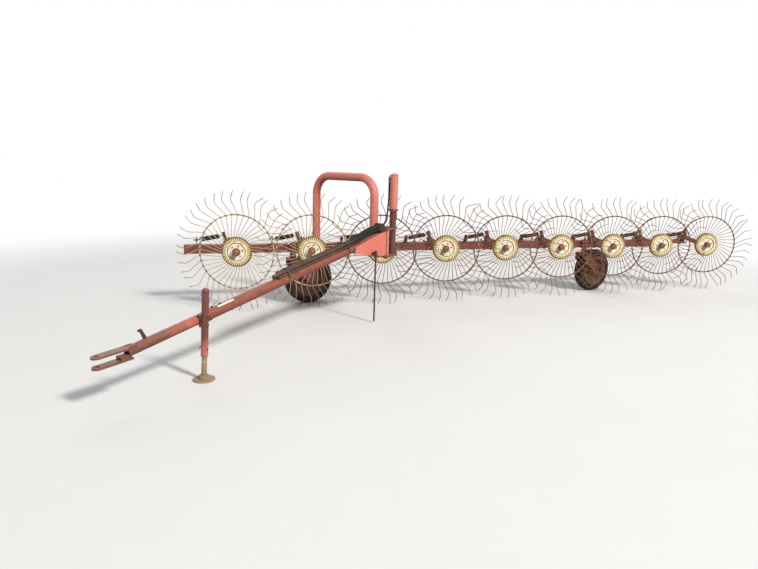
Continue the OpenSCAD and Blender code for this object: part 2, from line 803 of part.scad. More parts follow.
toolbar();
bar_extension();
crank_sleeves();
float_cranks();
spring_posts();
float_springs();
hoop();
hoop_saddle();
mast();
mast_collar();
mast_rib();
mast_hose();
hinge_bracket();
hinge_pin();
castor_sleeves();
hinge_sleeve();
gusset_plates();
tongue_rear();
tongue_front();
hitch_clevis();
clevis_block();
tow_hook();
jack_bracket();
jack_tube();
hose_bundle();
hose_guide();
hose_straps();
prop_bracket();
prop_rod();
jack_leg();
jack_foot();
front_fork();
rear_fork();
front_tyre();
rear_tyre();
front_rim();
rear_rim();
for (k = [1:wheel_count]) {
  rake_tines(k - 1);
  rake_hub(k - 1);
}
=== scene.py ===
"""Dressed scene of a towed finger-wheel hay rake that stands on its parking jack."""

import json
import logging
import math
import random
from dataclasses import dataclass, field
from enum import Enum

import bpy
from mathutils import Matrix, Vector, noise

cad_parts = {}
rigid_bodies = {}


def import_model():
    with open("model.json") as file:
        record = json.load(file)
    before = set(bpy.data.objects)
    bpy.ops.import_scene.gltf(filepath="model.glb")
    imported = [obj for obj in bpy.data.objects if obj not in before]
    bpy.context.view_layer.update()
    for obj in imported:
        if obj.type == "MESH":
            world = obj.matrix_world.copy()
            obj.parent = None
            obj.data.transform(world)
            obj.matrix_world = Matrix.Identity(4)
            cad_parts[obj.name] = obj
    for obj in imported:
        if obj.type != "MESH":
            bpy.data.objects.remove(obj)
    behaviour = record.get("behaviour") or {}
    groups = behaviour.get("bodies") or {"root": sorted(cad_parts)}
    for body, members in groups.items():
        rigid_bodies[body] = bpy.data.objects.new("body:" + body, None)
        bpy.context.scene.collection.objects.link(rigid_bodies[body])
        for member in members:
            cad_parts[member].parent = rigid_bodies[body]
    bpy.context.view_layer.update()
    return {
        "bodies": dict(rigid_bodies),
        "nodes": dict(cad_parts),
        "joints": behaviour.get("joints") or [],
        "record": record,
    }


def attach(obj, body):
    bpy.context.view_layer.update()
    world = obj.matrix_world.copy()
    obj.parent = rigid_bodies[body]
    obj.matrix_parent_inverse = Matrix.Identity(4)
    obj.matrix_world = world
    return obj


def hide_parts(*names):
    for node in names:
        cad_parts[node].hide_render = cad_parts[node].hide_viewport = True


log = logging.getLogger("hay_rake")

Colour = tuple[float, float, float]
Triple = tuple[float, float, float]
Outline = list[tuple[float, float]]

WHITE: Colour = (1.0, 1.0, 1.0)


def srgb(red: int, green: int, blue: int) -> Colour:
    """A linear colour from its screen values.

    Args:
        red: Red, 0 to 255.
        green: Green, 0 to 255.
        blue: Blue, 0 to 255.

    Returns:
        The colour in linear light.
    """
    values = []
    for value in (red / 255, green / 255, blue / 255):
        values.append(value / 12.92 if value <= 0.04045 else ((value + 0.055) / 1.055) ** 2.4)
    return (values[0], values[1], values[2])


def turn(axis: str, degrees: float) -> Matrix:
    """A rotation about one of the main axes."""
    return Matrix.Rotation(math.radians(degrees), 4, axis)


def shift(x: float, y: float, z: float) -> Matrix:
    """A move by x, y and z."""
    return Matrix.Translation((x, y, z))


# Shader maths


class Expr:
    """A shader output that takes part in Python arithmetic."""

    def __init__(self, graph: "Graph", socket: bpy.types.NodeSocket) -> None:
        """Wraps the socket of a node in graph."""
        self.graph = graph
        self.socket = socket

    def maths(self, operation: str, *values: "Expr | float") -> "Expr":
        """Adds one Math node.

        Args:
            operation: The node's operation.
            values: Its inputs in order.

        Returns:
            The node's result.
        """
        return self.graph.node("ShaderNodeMath", {"operation": operation}, dict(enumerate(values)))

    def __add__(self, other: "Expr | float") -> "Expr":
        """The sum."""
        return self.maths("ADD", self, other)

    def __radd__(self, other: float) -> "Expr":
        """The sum, number first."""
        return self.maths("ADD", other, self)

    def __sub__(self, other: "Expr | float") -> "Expr":
        """The difference."""
        return self.maths("SUBTRACT", self, other)

    def __rsub__(self, other: float) -> "Expr":
        """The difference, number first."""
        return self.maths("SUBTRACT", other, self)

    def __mul__(self, other: "Expr | float") -> "Expr":
        """The product."""
        return self.maths("MULTIPLY", self, other)

    def __rmul__(self, other: float) -> "Expr":
        """The product, number first."""
        return self.maths("MULTIPLY", other, self)

    def step(self, low: float, high: float) -> "Expr":
        """A smooth step.

        Args:
            low: The value at which the step starts from 0.
            high: The value at which it reaches 1.

        Returns:
            The stepped value.
        """
        settings = {"interpolation_type": "SMOOTHSTEP"}
        return self.graph.node("ShaderNodeMapRange", settings, {"Value": self, "From Min": low, "From Max": high})

    def drop(self, low: float, high: float) -> "Expr":
        """A smooth step from 1 at low down to 0 at high."""
        return 1.0 - self.step(low, high)

    def swing(self, amount: float) -> "Expr":
        """A noise turned into a swing about 0."""
        return (self - 0.5) * amount

    def size(self) -> "Expr":
        """The value without its sign."""
        return self.maths("ABSOLUTE", self)

    def clamp(self) -> "Expr":
        """The value held between 0 and 1."""
        return self.graph.node("ShaderNodeClamp", {}, {"Value": self})


class Graph:
    """The node tree of a material or a world, with one way of adding nodes."""

    def __init__(self, owner: bpy.types.Material | bpy.types.World) -> None:
        """Empties the owner's tree.

        Args:
            owner: The material or world that the nodes are for.
        """
        owner.use_nodes = True
        self.tree = owner.node_tree
        self.tree.nodes.clear()

    def node(self, kind: str, settings: dict | None = None, inputs: dict | None = None, output: str = "") -> Expr:
        """Adds a node of any kind.

        Args:
            kind: The node's type name.
            settings: Attributes set before the inputs; "stops" holds a ramp's positions and colours.
            inputs: Values or links by socket name or place.
            output: The output's name, or the first enabled one.

        Returns:
            The chosen output.
        """
        node = self.tree.nodes.new(kind)
        for name, value in (settings or {}).items():
            if name == "stops":
                ramp = node.color_ramp.elements
                while len(ramp) < len(value):
                    ramp.new(0.5)
                for element, (position, colour) in zip(ramp, value):
                    element.position = position
                    element.color = (*colour, 1.0)
            else:
                setattr(node, name, value)
        for name, value in (inputs or {}).items():
            if isinstance(name, int):
                socket = node.inputs[name]
            else:
                socket = next(s for s in node.inputs if s.name == name and s.enabled)
            if isinstance(value, Expr):
                self.tree.links.new(value.socket, socket)
            elif isinstance(value, tuple) and len(value) == 3 and socket.type == "RGBA":
                socket.default_value = (*value, 1.0)
            else:
                socket.default_value = value
        found = [s for s in node.outputs if s.enabled and (not output or s.name == output)]
        return Expr(self, found[0])

    def vector(self, operation: str, first: Expr, second: Triple | None = None) -> Expr:
        """Adds one Vector Math node.

        Args:
            operation: The node's operation.
            first: Its first input.
            second: Its second input, where it has one.

        Returns:
            The vector, or the number for a length or a dot product.
        """
        inputs = {0: first} if second is None else {0: first, 1: second}
        output = "Value" if operation in ("LENGTH", "DOT_PRODUCT") else "Vector"
        return self.node("ShaderNodeVectorMath", {"operation": operation}, inputs, output)

    def place(self, scale: Triple = (1.0, 1.0, 1.0)) -> Expr:
        """The surface point in the part's frame.

        Args:
            scale: Stretch of the three axes.

        Returns:
            The scaled point in metres.
        """
        return self.vector("MULTIPLY", self.node("ShaderNodeTexCoord", output="Object"), scale)

    def noise(self, size: float, detail: float = 6.0, rough: float = 0.6, stretch: Triple = (1.0, 1.0, 1.0)) -> Expr:
        """A noise whose features measure about size.

        Args:
            size: Feature size in metres.
            detail: Octaves.
            rough: Strength of the fine octaves.
            stretch: Stretch of the axes; a small number draws the pattern out.

        Returns:
            The noise value, around 0.5.
        """
        inputs = {"Vector": self.place(stretch), "Scale": 1 / size, "Detail": detail, "Roughness": rough}
        return self.node("ShaderNodeTexNoise", {}, inputs)

    def up(self) -> Expr:
        """How far the surface faces up, -1 to 1."""
        normal = self.node("ShaderNodeTexCoord", output="Normal")
        return self.node("ShaderNodeSeparateXYZ", {}, {"Vector": normal}, "Z")

    def height(self) -> Expr:
        """The surface point's height above the hitch pin."""
        return self.node("ShaderNodeSeparateXYZ", {}, {"Vector": self.place()}, "Z")

    def along(self, start: Vector, way: Vector) -> Expr:
        """How far the surface point lies along a line.

        Args:
            start: Where the line starts, in the part's frame.
            way: Its unit direction.

        Returns:
            The distance in metres.
        """
        return self.vector("DOT_PRODUCT", self.vector("SUBTRACT", self.place(), tuple(start)), tuple(way))

    def mark(self, name: str) -> Expr:
        """A number that the mesh carries under that name."""
        return self.node("ShaderNodeAttribute", {"attribute_name": name}, output="Fac")

    def mix(self, under: "Expr | Colour", over: "Expr | Colour", share: "Expr | float") -> Expr:
        """Lays one colour over another.

        Args:
            under: The colour at share 0.
            over: The colour at share 1.
            share: How much of the upper colour shows.

        Returns:
            The mixed colour.
        """
        return self.node("ShaderNodeMix", {"data_type": "RGBA"}, {"Factor": share, "A": under, "B": over})

    def bump(self, height: Expr, depth: float, strength: float = 0.6) -> Expr:
        """A normal from a height pattern.

        Args:
            height: The pattern.
            depth: Its depth in metres.
            strength: How much it shows.

        Returns:
            The normal.
        """
        return self.node("ShaderNodeBump", {}, {"Strength": strength, "Distance": depth, "Height": height})

    def end(self, shader: Expr, kind: str = "ShaderNodeOutputMaterial") -> None:
        """Links a shader to the tree's output."""
        self.tree.links.new(shader.socket, self.tree.nodes.new(kind).inputs["Surface"])


# The rake's layout, in metres, as the CAD source has it

ROW = shift(1.105, 2.530, -0.355)
WHEELS = 9
PITCH = 0.855
WHEEL_SET = 18.8
HUB_Z = 0.692
PIVOT_U, PIVOT_Z = -0.180, 0.762
BAR_Y, BAR_Z, BAR, STUB = 0.400, 0.675, 0.100, 0.060
HINGE = Vector((1.600, -0.460, 0.0))
HITCH = Vector((-1.105, -2.530, 0.355))
MAST = Vector((1.712, -0.350, 0.0))
HOOP_FRONT = Vector((1.486, -0.339, 0.0))
HOOP_REAR = Vector((0.990, BAR_Y, 0.0))
TONGUE_Z = 0.950
REACH = math.hypot(HITCH.x - HINGE.x, HITCH.y - HINGE.y)
YAW = math.degrees(math.atan2(HITCH.y - HINGE.y, HITCH.x - HINGE.x))
DROP = TONGUE_Z - (HITCH.z - 0.020)
SLOPE = math.degrees(math.atan2(DROP, REACH))
TONGUE = ROW @ shift(HINGE.x, HINGE.y, TONGUE_Z) @ turn("Z", YAW) @ turn("Y", SLOPE)
LEVEL = ROW @ shift(HINGE.x, HINGE.y, 0.0) @ turn("Z", YAW)
TONGUE_WAY = TONGUE.to_3x3() @ Vector((1, 0, 0))
CLEVIS = ROW @ shift(*HITCH) @ turn("Z", YAW) @ turn("Y", 3.0)


# Finishes

OLD_RUST = srgb(98, 56, 42)
ORANGE_RUST = srgb(142, 92, 64)
BARE_CHIP = srgb(66, 40, 32)
# Dark tone for downward faces: painted shade, with some grime.
SHADE_AND_GRIME = srgb(58, 34, 28)
FIELD_DUST = srgb(176, 154, 134)
# Painted shade at the edge of a hub's sunk dish.
DISH_EDGE_SHADE = srgb(78, 74, 56)
# Painted shadow cast by a hub cap.
CAP_SHADOW_TONE = srgb(70, 64, 48)
PALE_TRACE = srgb(190, 172, 146)
DRY_TRACE = srgb(206, 182, 150)


@dataclass(frozen=True)
class Finish:
    """A surface finish and the record's slot it belongs to."""

    name: str
    slot: str

    def shade(self, g: Graph) -> dict:
        """The Principled sockets of this finish.

        Args:
            g: The graph to add nodes to.

        Returns:
            Values and links by socket name.
        """
        raise NotImplementedError

    def material(self) -> bpy.types.Material:
        """The finish's material, made once.

        Returns:
            The material under the finish's name.
        """
        found = bpy.data.materials.get(self.name)
        if found is None:
            found = bpy.data.materials.new(self.name)
            graph = Graph(found)
            graph.end(graph.node("ShaderNodeBsdfPrincipled", {}, self.shade(graph)))
        return found


@dataclass(frozen=True)
class SunPaint(Finish):
    """Old paint: bleached on top, with a thin film of rust, run marks, chips and dust."""

    paint: Colour
    bleached: Colour
    rust: Colour = OLD_RUST
    worn: float = 0.4
    dust: float = 0.25

    def base(self, g: Graph, cloud: Expr) -> Expr:
        """The paint's own colour before it rusts.

        Args:
            g: The graph to add nodes to.
            cloud: Large soft variation.

        Returns:
            The colour.
        """
        fade = (g.up() * 0.45 + 0.4 + cloud.swing(1.3)).clamp()
        return g.mix(self.paint, self.bleached, fade)

    def shade(self, g: Graph) -> dict:
        """Paint under a film of rust, with runs, small chips, painted shade and grime below and dust above.

        Args:
            g: The graph to add nodes to.

        Returns:
            Values and links by socket name.
        """
        cloud = g.noise(0.28, 4)
        film = g.noise(0.055, 9, 0.7)
        fine = g.noise(0.011, 6, 0.65)
        grain = g.noise(0.003, 4, 0.7)
        runs = g.noise(0.016, 5, 0.6, (1.0, 1.0, 0.07)).step(0.5, 0.76)
        colour = self.base(g, cloud)
        limit = 0.86 - 0.42 * self.worn
        spread = film + cloud.swing(0.7) + fine.swing(0.45)
        rusty = spread.step(limit - 0.16, limit + 0.12)
        colour = g.mix(colour, self.rust, runs * (0.14 + 0.3 * self.worn))
        tones = g.mix(self.rust, ORANGE_RUST, (fine + grain.swing(0.5)).step(0.42, 0.68))
        colour = g.mix(colour, tones, rusty * 0.78)
        chips = (fine + film.swing(0.8) + self.worn * 0.06).step(0.685, 0.70)
        colour = g.mix(colour, BARE_CHIP, chips * 0.75)
        # Darker on faces that look down: painted shade, with some grime.
        below = (g.up() * -1.0).step(0.05, 0.85)
        colour = g.mix(colour, SHADE_AND_GRIME, below * 0.68)
        dust = g.up().step(0.45, 1.0) * (film + fine.swing(0.5)).step(0.4, 0.66)
        colour = g.mix(colour, FIELD_DUST, dust * self.dust)
        relief = grain * 0.3 + fine * 0.25 - chips * 0.5 + rusty * 0.2
        rough = 0.46 + rusty * 0.3 + grain * 0.1
        return {"Base Color": colour, "Roughness": rough, "Normal": g.bump(relief, 0.0011, 0.5)}


@dataclass(frozen=True)
class SteppedPaint(SunPaint):
    """Paint that is darker below a height."""

    lower: Colour = (0.1, 0.04, 0.03)
    level: float = 0.0
    soft: float = 0.01

    def base(self, g: Graph, cloud: Expr) -> Expr:
        """Bleached paint above the level, a darker tone below it."""
        share = (g.height() + cloud.swing(self.soft)).step(self.level - self.soft, self.level + self.soft)
        return g.mix(self.lower, super().base(g, cloud), share)


@dataclass(frozen=True)
class JackPaint(SunPaint):
    """Dark paint at the top, bleached further down, buried in dust at the foot."""

    def base(self, g: Graph, cloud: Expr) -> Expr:
        """Three tones by height, their borders broken up.

        Args:
            g: The graph to add nodes to.
            cloud: Large soft variation.

        Returns:
            The colour.
        """
        up = g.height() + cloud.swing(0.12)
        colour = g.mix(srgb(182, 108, 90), self.paint, up.step(-0.09, 0.02))
        return g.mix(srgb(164, 142, 118), colour, up.step(-0.22, -0.15))


@dataclass(frozen=True)
class DrawbarPaint(SunPaint):
    """Brown weathered paint with one stretch where the bright coat is left."""

    bright: Colour = srgb(206, 104, 84)
    low: float = 0.0
    high: float = 1.0

    def base(self, g: Graph, cloud: Expr) -> Expr:
        """Weathered paint, and the bright one between two places along the tube.

        Args:
            g: The graph to add nodes to.
            cloud: Large soft variation.

        Returns:
            The colour.
        """
        away = g.along(TONGUE.translation, TONGUE_WAY) + cloud.swing(0.35)
        share = away.step(self.low, self.low + 0.08) * away.drop(self.high - 0.12, self.high + 0.1)
        return g.mix(super().base(g, cloud), self.bright, share * 0.85)


@dataclass(frozen=True)
class RustedSteel(Finish):
    """Steel with a full coat of rust and traces of older paint."""

    dark: Colour = srgb(74, 48, 38)
    light: Colour = srgb(140, 92, 66)
    trace: Colour = srgb(196, 172, 146)
    traces: float = 0.3

    def shade(self, g: Graph) -> dict:
        """Two rust tones, pits and paint traces.

        Args:
            g: The graph to add nodes to.

        Returns:
            Values and links by socket name.
        """
        cloud = g.noise(0.12, 7, 0.65)
        grain = g.noise(0.004, 4, 0.7)
        colour = g.mix(self.dark, self.light, (cloud * 1.3 - 0.15 + grain.swing(0.5)).clamp())
        left = (g.noise(0.045, 8, 0.7) + grain.swing(0.2)).step(0.66 - 0.2 * self.traces, 0.72 - 0.2 * self.traces)
        colour = g.mix(colour, self.trace, left * 0.8)
        rough = 0.72 + grain * 0.2 - left * 0.12
        normal = g.bump(grain + left * 0.5, 0.0008)
        return {"Base Color": colour, "Metallic": 0.15, "Roughness": rough, "Normal": normal}


@dataclass(frozen=True)
class TineWire(Finish):
    """Spring wire: paint near the hub, rust further out, polished at the tip."""

    painted: float = 0.0

    def shade(self, g: Graph) -> dict:
        """Wire colour by its share of the radius, carried as the mark "reach".

        Args:
            g: The graph to add nodes to.

        Returns:
            Values and links by socket name.
        """
        reach = g.mark("reach")
        cloud = g.noise(0.06, 7, 0.7)
        grain = g.noise(0.004, 4, 0.7)
        rust = g.mix(srgb(84, 52, 42), srgb(156, 106, 80), (cloud * 1.4 - 0.2).clamp())
        paint = g.mix(srgb(218, 196, 158), srgb(176, 146, 110), grain)
        share = (0.72 + self.painted - reach * 1.1 + cloud.swing(1.2)).step(0.35, 0.6)
        colour = g.mix(rust, paint, share * 0.8)
        tip = (reach + cloud.swing(0.1)).step(0.93, 0.99)
        colour = g.mix(colour, srgb(150, 120, 100), tip * 0.5)
        rough = 0.66 + grain * 0.2 - tip * 0.2
        return {"Base Color": colour, "Metallic": 0.2, "Roughness": rough, "Normal": g.bump(grain, 0.0006)}


@dataclass(frozen=True)
class HubPaint(Finish):
    """Hub plate paint of one wheel, worn by the distance from its own axle."""

    centre: Triple = (0.0, 0.0, 0.0)
    axle: Triple = (0.0, 0.0, 1.0)
    # Way in which the painted shadow of the cap falls, in the wheel's plane.
    fall: Triple = (0.0, -1.0, 0.0)
    rusted: float = 0.5

    def shade(self, g: Graph) -> dict:
        """Cream disc with a painted shadow of the cap, mustard ribs with painted shade between them, painted shade at
        the dish's edge, dark rim.

        Args:
            g: The graph to add nodes to.

        Returns:
            Values and links by socket name.
        """
        across = g.vector("CROSS_PRODUCT", g.vector("SUBTRACT", g.place(), self.centre), self.axle)
        out = g.vector("LENGTH", across)
        cloud = g.noise(0.05, 8, 0.68)
        fine = g.noise(0.012, 6, 0.65)
        grain = g.noise(0.004, 5, 0.7)
        cream = g.mix(srgb(253, 248, 226), srgb(232, 216, 180), (cloud * 1.3 - 0.25).clamp())
        ribbed = out + cloud.swing(0.03)
        band = ribbed.step(0.116, 0.128) * out.drop(0.157, 0.159)
        colour = g.mix(cream, g.mix(srgb(250, 232, 168), srgb(214, 180, 100), fine), ribbed.step(0.104, 0.128) * 0.85)
        # Darker tone in the valleys between the flutes: painted shade.
        valley_shade = (1.0 - g.mark("crest")) * band
        colour = g.mix(colour, g.mix(srgb(104, 76, 38), srgb(70, 46, 28), cloud.step(0.4, 0.6)), valley_shade * 0.92)
        pink = (g.noise(0.03, 6) + fine.swing(0.4)).step(0.58, 0.68) * out.step(0.1, 0.118)
        colour = g.mix(colour, srgb(190, 116, 84), pink * 0.65)
        bare = (cloud + fine.swing(0.55) + out * 0.6).step(0.74 - 0.12 * self.rusted, 0.82 - 0.12 * self.rusted)
        colour = g.mix(colour, g.mix(srgb(112, 70, 42), srgb(150, 98, 56), fine), bare * 0.85)
        runs = g.noise(0.013, 6, 0.65, (1.0, 1.0, 0.16)).step(0.54, 0.74)
        colour = g.mix(colour, srgb(150, 104, 66), runs * 0.34)
        # Dark ring at the inner edge of the sunk dish: painted shade of its lip.
        dish = (out + fine.swing(0.004)).step(0.091, 0.100) * out.drop(0.1035, 0.1065)
        colour = g.mix(colour, DISH_EDGE_SHADE, dish * 0.8)
        # Painted shadow of the hub cap: a band from under the cap towards the lower left.
        run = g.along(Vector(self.centre), Vector(self.fall)) + fine.swing(0.012)
        side = g.along(Vector(self.centre), Vector(self.axle).cross(Vector(self.fall))).size()
        grease = run.step(0.022, 0.034) * run.drop(0.080, 0.108) * side.drop(0.022, 0.036)
        colour = g.mix(colour, CAP_SHADOW_TONE, grease * 0.72)
        rim = (out + grain.swing(0.004)).step(0.1535, 0.1565)
        colour = g.mix(colour, srgb(66, 46, 28), rim * out.drop(0.160, 0.163) * 0.9)
        outer = out.step(0.160, 0.163)
        colour = g.mix(colour, g.mix(srgb(168, 130, 62), srgb(110, 74, 42), cloud.step(0.42, 0.62)), outer * 0.8)
        rough = 0.46 + bare * 0.35
        normal = g.bump(grain * 0.4 + fine * 0.3 - bare * 0.6, 0.0009)
        return {"Base Color": colour, "Roughness": rough, "Normal": normal}


@dataclass(frozen=True)
class CapPaint(Finish):
    """Hub cap paint: red going brown, worn to a lighter tone at its nose."""

    def shade(self, g: Graph) -> dict:
        """Two reds, rust and a little cream overspray.

        Args:
            g: The graph to add nodes to.

        Returns:
            Values and links by socket name.
        """
        cloud = g.noise(0.03, 7, 0.65)
        fine = g.noise(0.008, 6, 0.65)
        grain = g.noise(0.003, 4, 0.7)
        colour = g.mix(srgb(152, 86, 62), srgb(104, 56, 42), cloud.step(0.38, 0.64))
        colour = g.mix(colour, srgb(190, 132, 98), fine.step(0.56, 0.72) * 0.45)
        colour = g.mix(colour, srgb(70, 42, 32), (fine + cloud.swing(0.6)).step(0.68, 0.72) * 0.8)
        return {"Base Color": colour, "Roughness": 0.5 + grain * 0.3, "Normal": g.bump(grain + fine * 0.5, 0.0008)}


@dataclass(frozen=True)
class DustyRubber(Finish):
    """Cracked tyre or hose rubber under dust."""

    rubber: Colour = srgb(46, 42, 40)
    dust: Colour = srgb(128, 106, 88)
    dusty: float = 0.5

    def cover(self, g: Graph, cloud: Expr, grain: Expr) -> Expr:
        """How much dust lies on the rubber."""
        return (cloud + grain.swing(0.3)).step(0.62 - 0.3 * self.dusty, 0.8 - 0.2 * self.dusty)

    def shade(self, g: Graph) -> dict:
        """Rubber, fine cracks and dust that gathers in the low places.

        Args:
            g: The graph to add nodes to.

        Returns:
            Values and links by socket name.
        """
        cloud = g.noise(0.07, 7, 0.65)
        grain = g.noise(0.003, 4, 0.75)
        crack = g.node("ShaderNodeTexVoronoi", {"feature": "DISTANCE_TO_EDGE"},
                       {"Vector": g.place((1.0, 1.0, 2.5)), "Scale": 90.0}, "Distance").step(0.0, 0.05)
        share = self.cover(g, cloud, grain)
        colour = g.mix(self.rubber, srgb(58, 50, 44), grain.step(0.5, 0.8) * 0.4)
        colour = g.mix(colour, self.dust, share * 0.75)
        rough = 0.78 + share * 0.15
        normal = g.bump(grain * 0.4 + crack * 0.6, 0.0009, 0.5)
        return {"Base Color": colour, "Roughness": rough, "Specular IOR Level": 0.3, "Normal": normal}


@dataclass(frozen=True)
class HoseRubber(DustyRubber):
    """Hose rubber: black by the hinge, buried in brown dust further along the tongue."""

    def cover(self, g: Graph, cloud: Expr, grain: Expr) -> Expr:
        """More dust with the distance from the hinge.

        Args:
            g: The graph to add nodes to.
            cloud: Large soft variation.
            grain: Fine variation.

        Returns:
            The share of dust.
        """
        away = g.along(TONGUE.translation, TONGUE_WAY) + cloud.swing(0.3)
        share = away.step(0.42, 1.05)
        return (share * 0.6 + super().cover(g, cloud, grain) * (0.2 + share * 0.25)).clamp()


class Coat:
    """The finishes of this rake."""

    HOOP = SunPaint("hoop_paint", "salmon_paint", srgb(198, 104, 90), srgb(216, 132, 118), worn=0.12)
    MAST = SteppedPaint("mast_paint", "salmon_paint", srgb(202, 112, 94), srgb(216, 138, 120), worn=0.18,
                        lower=srgb(98, 56, 48), level=0.832)
    GUSSET = SunPaint("gusset_paint", "salmon_paint", srgb(208, 104, 90), srgb(222, 130, 114), worn=0.1)
    TONGUE = DrawbarPaint("tongue_paint", "salmon_paint", srgb(102, 58, 46), srgb(130, 82, 66), worn=0.62, dust=0.28,
                          low=2.58, high=2.86)
    HOOK = RustedSteel("hook_rust", "dark_steel", srgb(54, 30, 26), srgb(98, 58, 46), srgb(140, 96, 80), 0.15)
    REAR = SunPaint("rear_tube_paint", "red_paint", srgb(124, 54, 40), srgb(162, 86, 64), srgb(84, 50, 38),
                    worn=0.64, dust=0.2)
    BAR = SunPaint("toolbar_paint", "red_paint", srgb(116, 54, 44), srgb(148, 84, 68), srgb(62, 36, 30), worn=0.56)
    CRANK = SunPaint("crank_paint", "red_paint", srgb(96, 46, 40), srgb(124, 70, 58), worn=0.45)
    CLEVIS = SunPaint("clevis_paint", "red_paint", srgb(110, 62, 48), srgb(126, 84, 66), worn=0.6, dust=0.3)
    JACK = JackPaint("jack_paint", "red_paint", srgb(112, 60, 52), srgb(112, 60, 52), worn=0.3)
    # Fork and rim paint are darkened: painted shade from the tyre over worn paint.
    FORK = SunPaint("fork_paint", "salmon_paint", srgb(132, 62, 52), srgb(164, 94, 80), worn=0.5)
    RIM = SunPaint("rim_paint", "salmon_paint", srgb(80, 44, 36), srgb(108, 70, 56), srgb(66, 43, 33),
                   worn=0.75, dust=0.3)
    DARK = RustedSteel("dark_rust", "dark_steel", srgb(48, 38, 34), srgb(98, 70, 56), srgb(120, 104, 92), 0.15)
    GUIDE = RustedSteel("guide_steel", "dark_steel", srgb(34, 36, 28), srgb(66, 62, 44), srgb(112, 104, 82), 0.1)
    EARTHY = RustedSteel("earthy_steel", "dark_steel", srgb(132, 110, 88), srgb(176, 154, 126), PALE_TRACE, 0.4)
    BOLT = RustedSteel("bolt_steel", "dark_steel", srgb(66, 48, 40), srgb(134, 100, 78), srgb(170, 150, 132), 0.35)
    RING = RustedSteel("tie_ring_rust", "bare_rust", srgb(92, 58, 46), srgb(158, 110, 84), DRY_TRACE, 0.35)
    PALE_RING = RustedSteel("tie_ring_pale", "bare_rust", srgb(150, 116, 90), DRY_TRACE, srgb(228, 212, 184), 0.8)
    WELD = RustedSteel("weld_metal", "red_paint", srgb(92, 50, 40), srgb(140, 80, 62), srgb(176, 110, 92), 0.5)
    SPRING = RustedSteel("spring_steel", "dark_steel", srgb(32, 30, 28), srgb(70, 58, 48), srgb(104, 98, 84), 0.15)
    WIRE = TineWire("tine_wire", "bare_rust")
    PALE_WIRE = TineWire("tine_wire_pale", "bare_rust", painted=0.75)
    CAP = CapPaint("hub_cap_paint", "cream_paint")
    TYRE = DustyRubber("worn_tyre", "tyre_rubber", srgb(36, 30, 27), srgb(116, 92, 74), 0.42)
    HOSE = HoseRubber("dusty_hose", "hose_rubber", srgb(26, 28, 24), srgb(122, 92, 80), 0.5)
    STRAP = DustyRubber("strap_rubber", "hose_rubber", srgb(46, 42, 40), srgb(138, 120, 104), 0.7)
    STRIP = SunPaint("strip_paint", "cream_paint", srgb(228, 224, 212), srgb(244, 242, 234), srgb(160, 134, 112),
                     worn=0.02)
    PLUG = SunPaint("plug_white", "cream_paint", srgb(214, 208, 194), srgb(236, 232, 222), srgb(150, 128, 106),
                    worn=0.05)


# Meshes


def angles(count: int) -> list[float]:
    """Evenly spread angles of a full turn, in radians."""
    return [math.tau * i / count for i in range(count)]


def mm(*numbers: float) -> Outline:
    """Points from pairs of numbers in millimetres."""
    return [(u / 1000, v / 1000) for u, v in zip(numbers[::2], numbers[1::2])]


def spots(frame: Matrix, *numbers: float) -> list[Vector]:
    """Points in a frame, from threes of numbers in millimetres."""
    return [frame @ Vector([n / 1000 for n in numbers[i:i + 3]]) for i in range(0, len(numbers), 3)]


def polygon_outline(radius: float, sides: int) -> Outline:
    """The corners of a regular polygon, counterclockwise."""
    return [(radius * math.cos(a), radius * math.sin(a)) for a in angles(sides)]


def rectangle(half_x: float, half_y: float) -> Outline:
    """The corners of a rectangle about the middle, counterclockwise."""
    return [(-half_x, -half_y), (half_x, -half_y), (half_x, half_y), (-half_x, half_y)]


def circle(frame: Matrix, radius: float, steps: int = 32, z: float = 0.0) -> list[Vector]:
    """Points of a circle about the frame's z, at height z."""
    return [frame @ Vector((x, y, z)) for x, y in polygon_outline(radius, steps)]


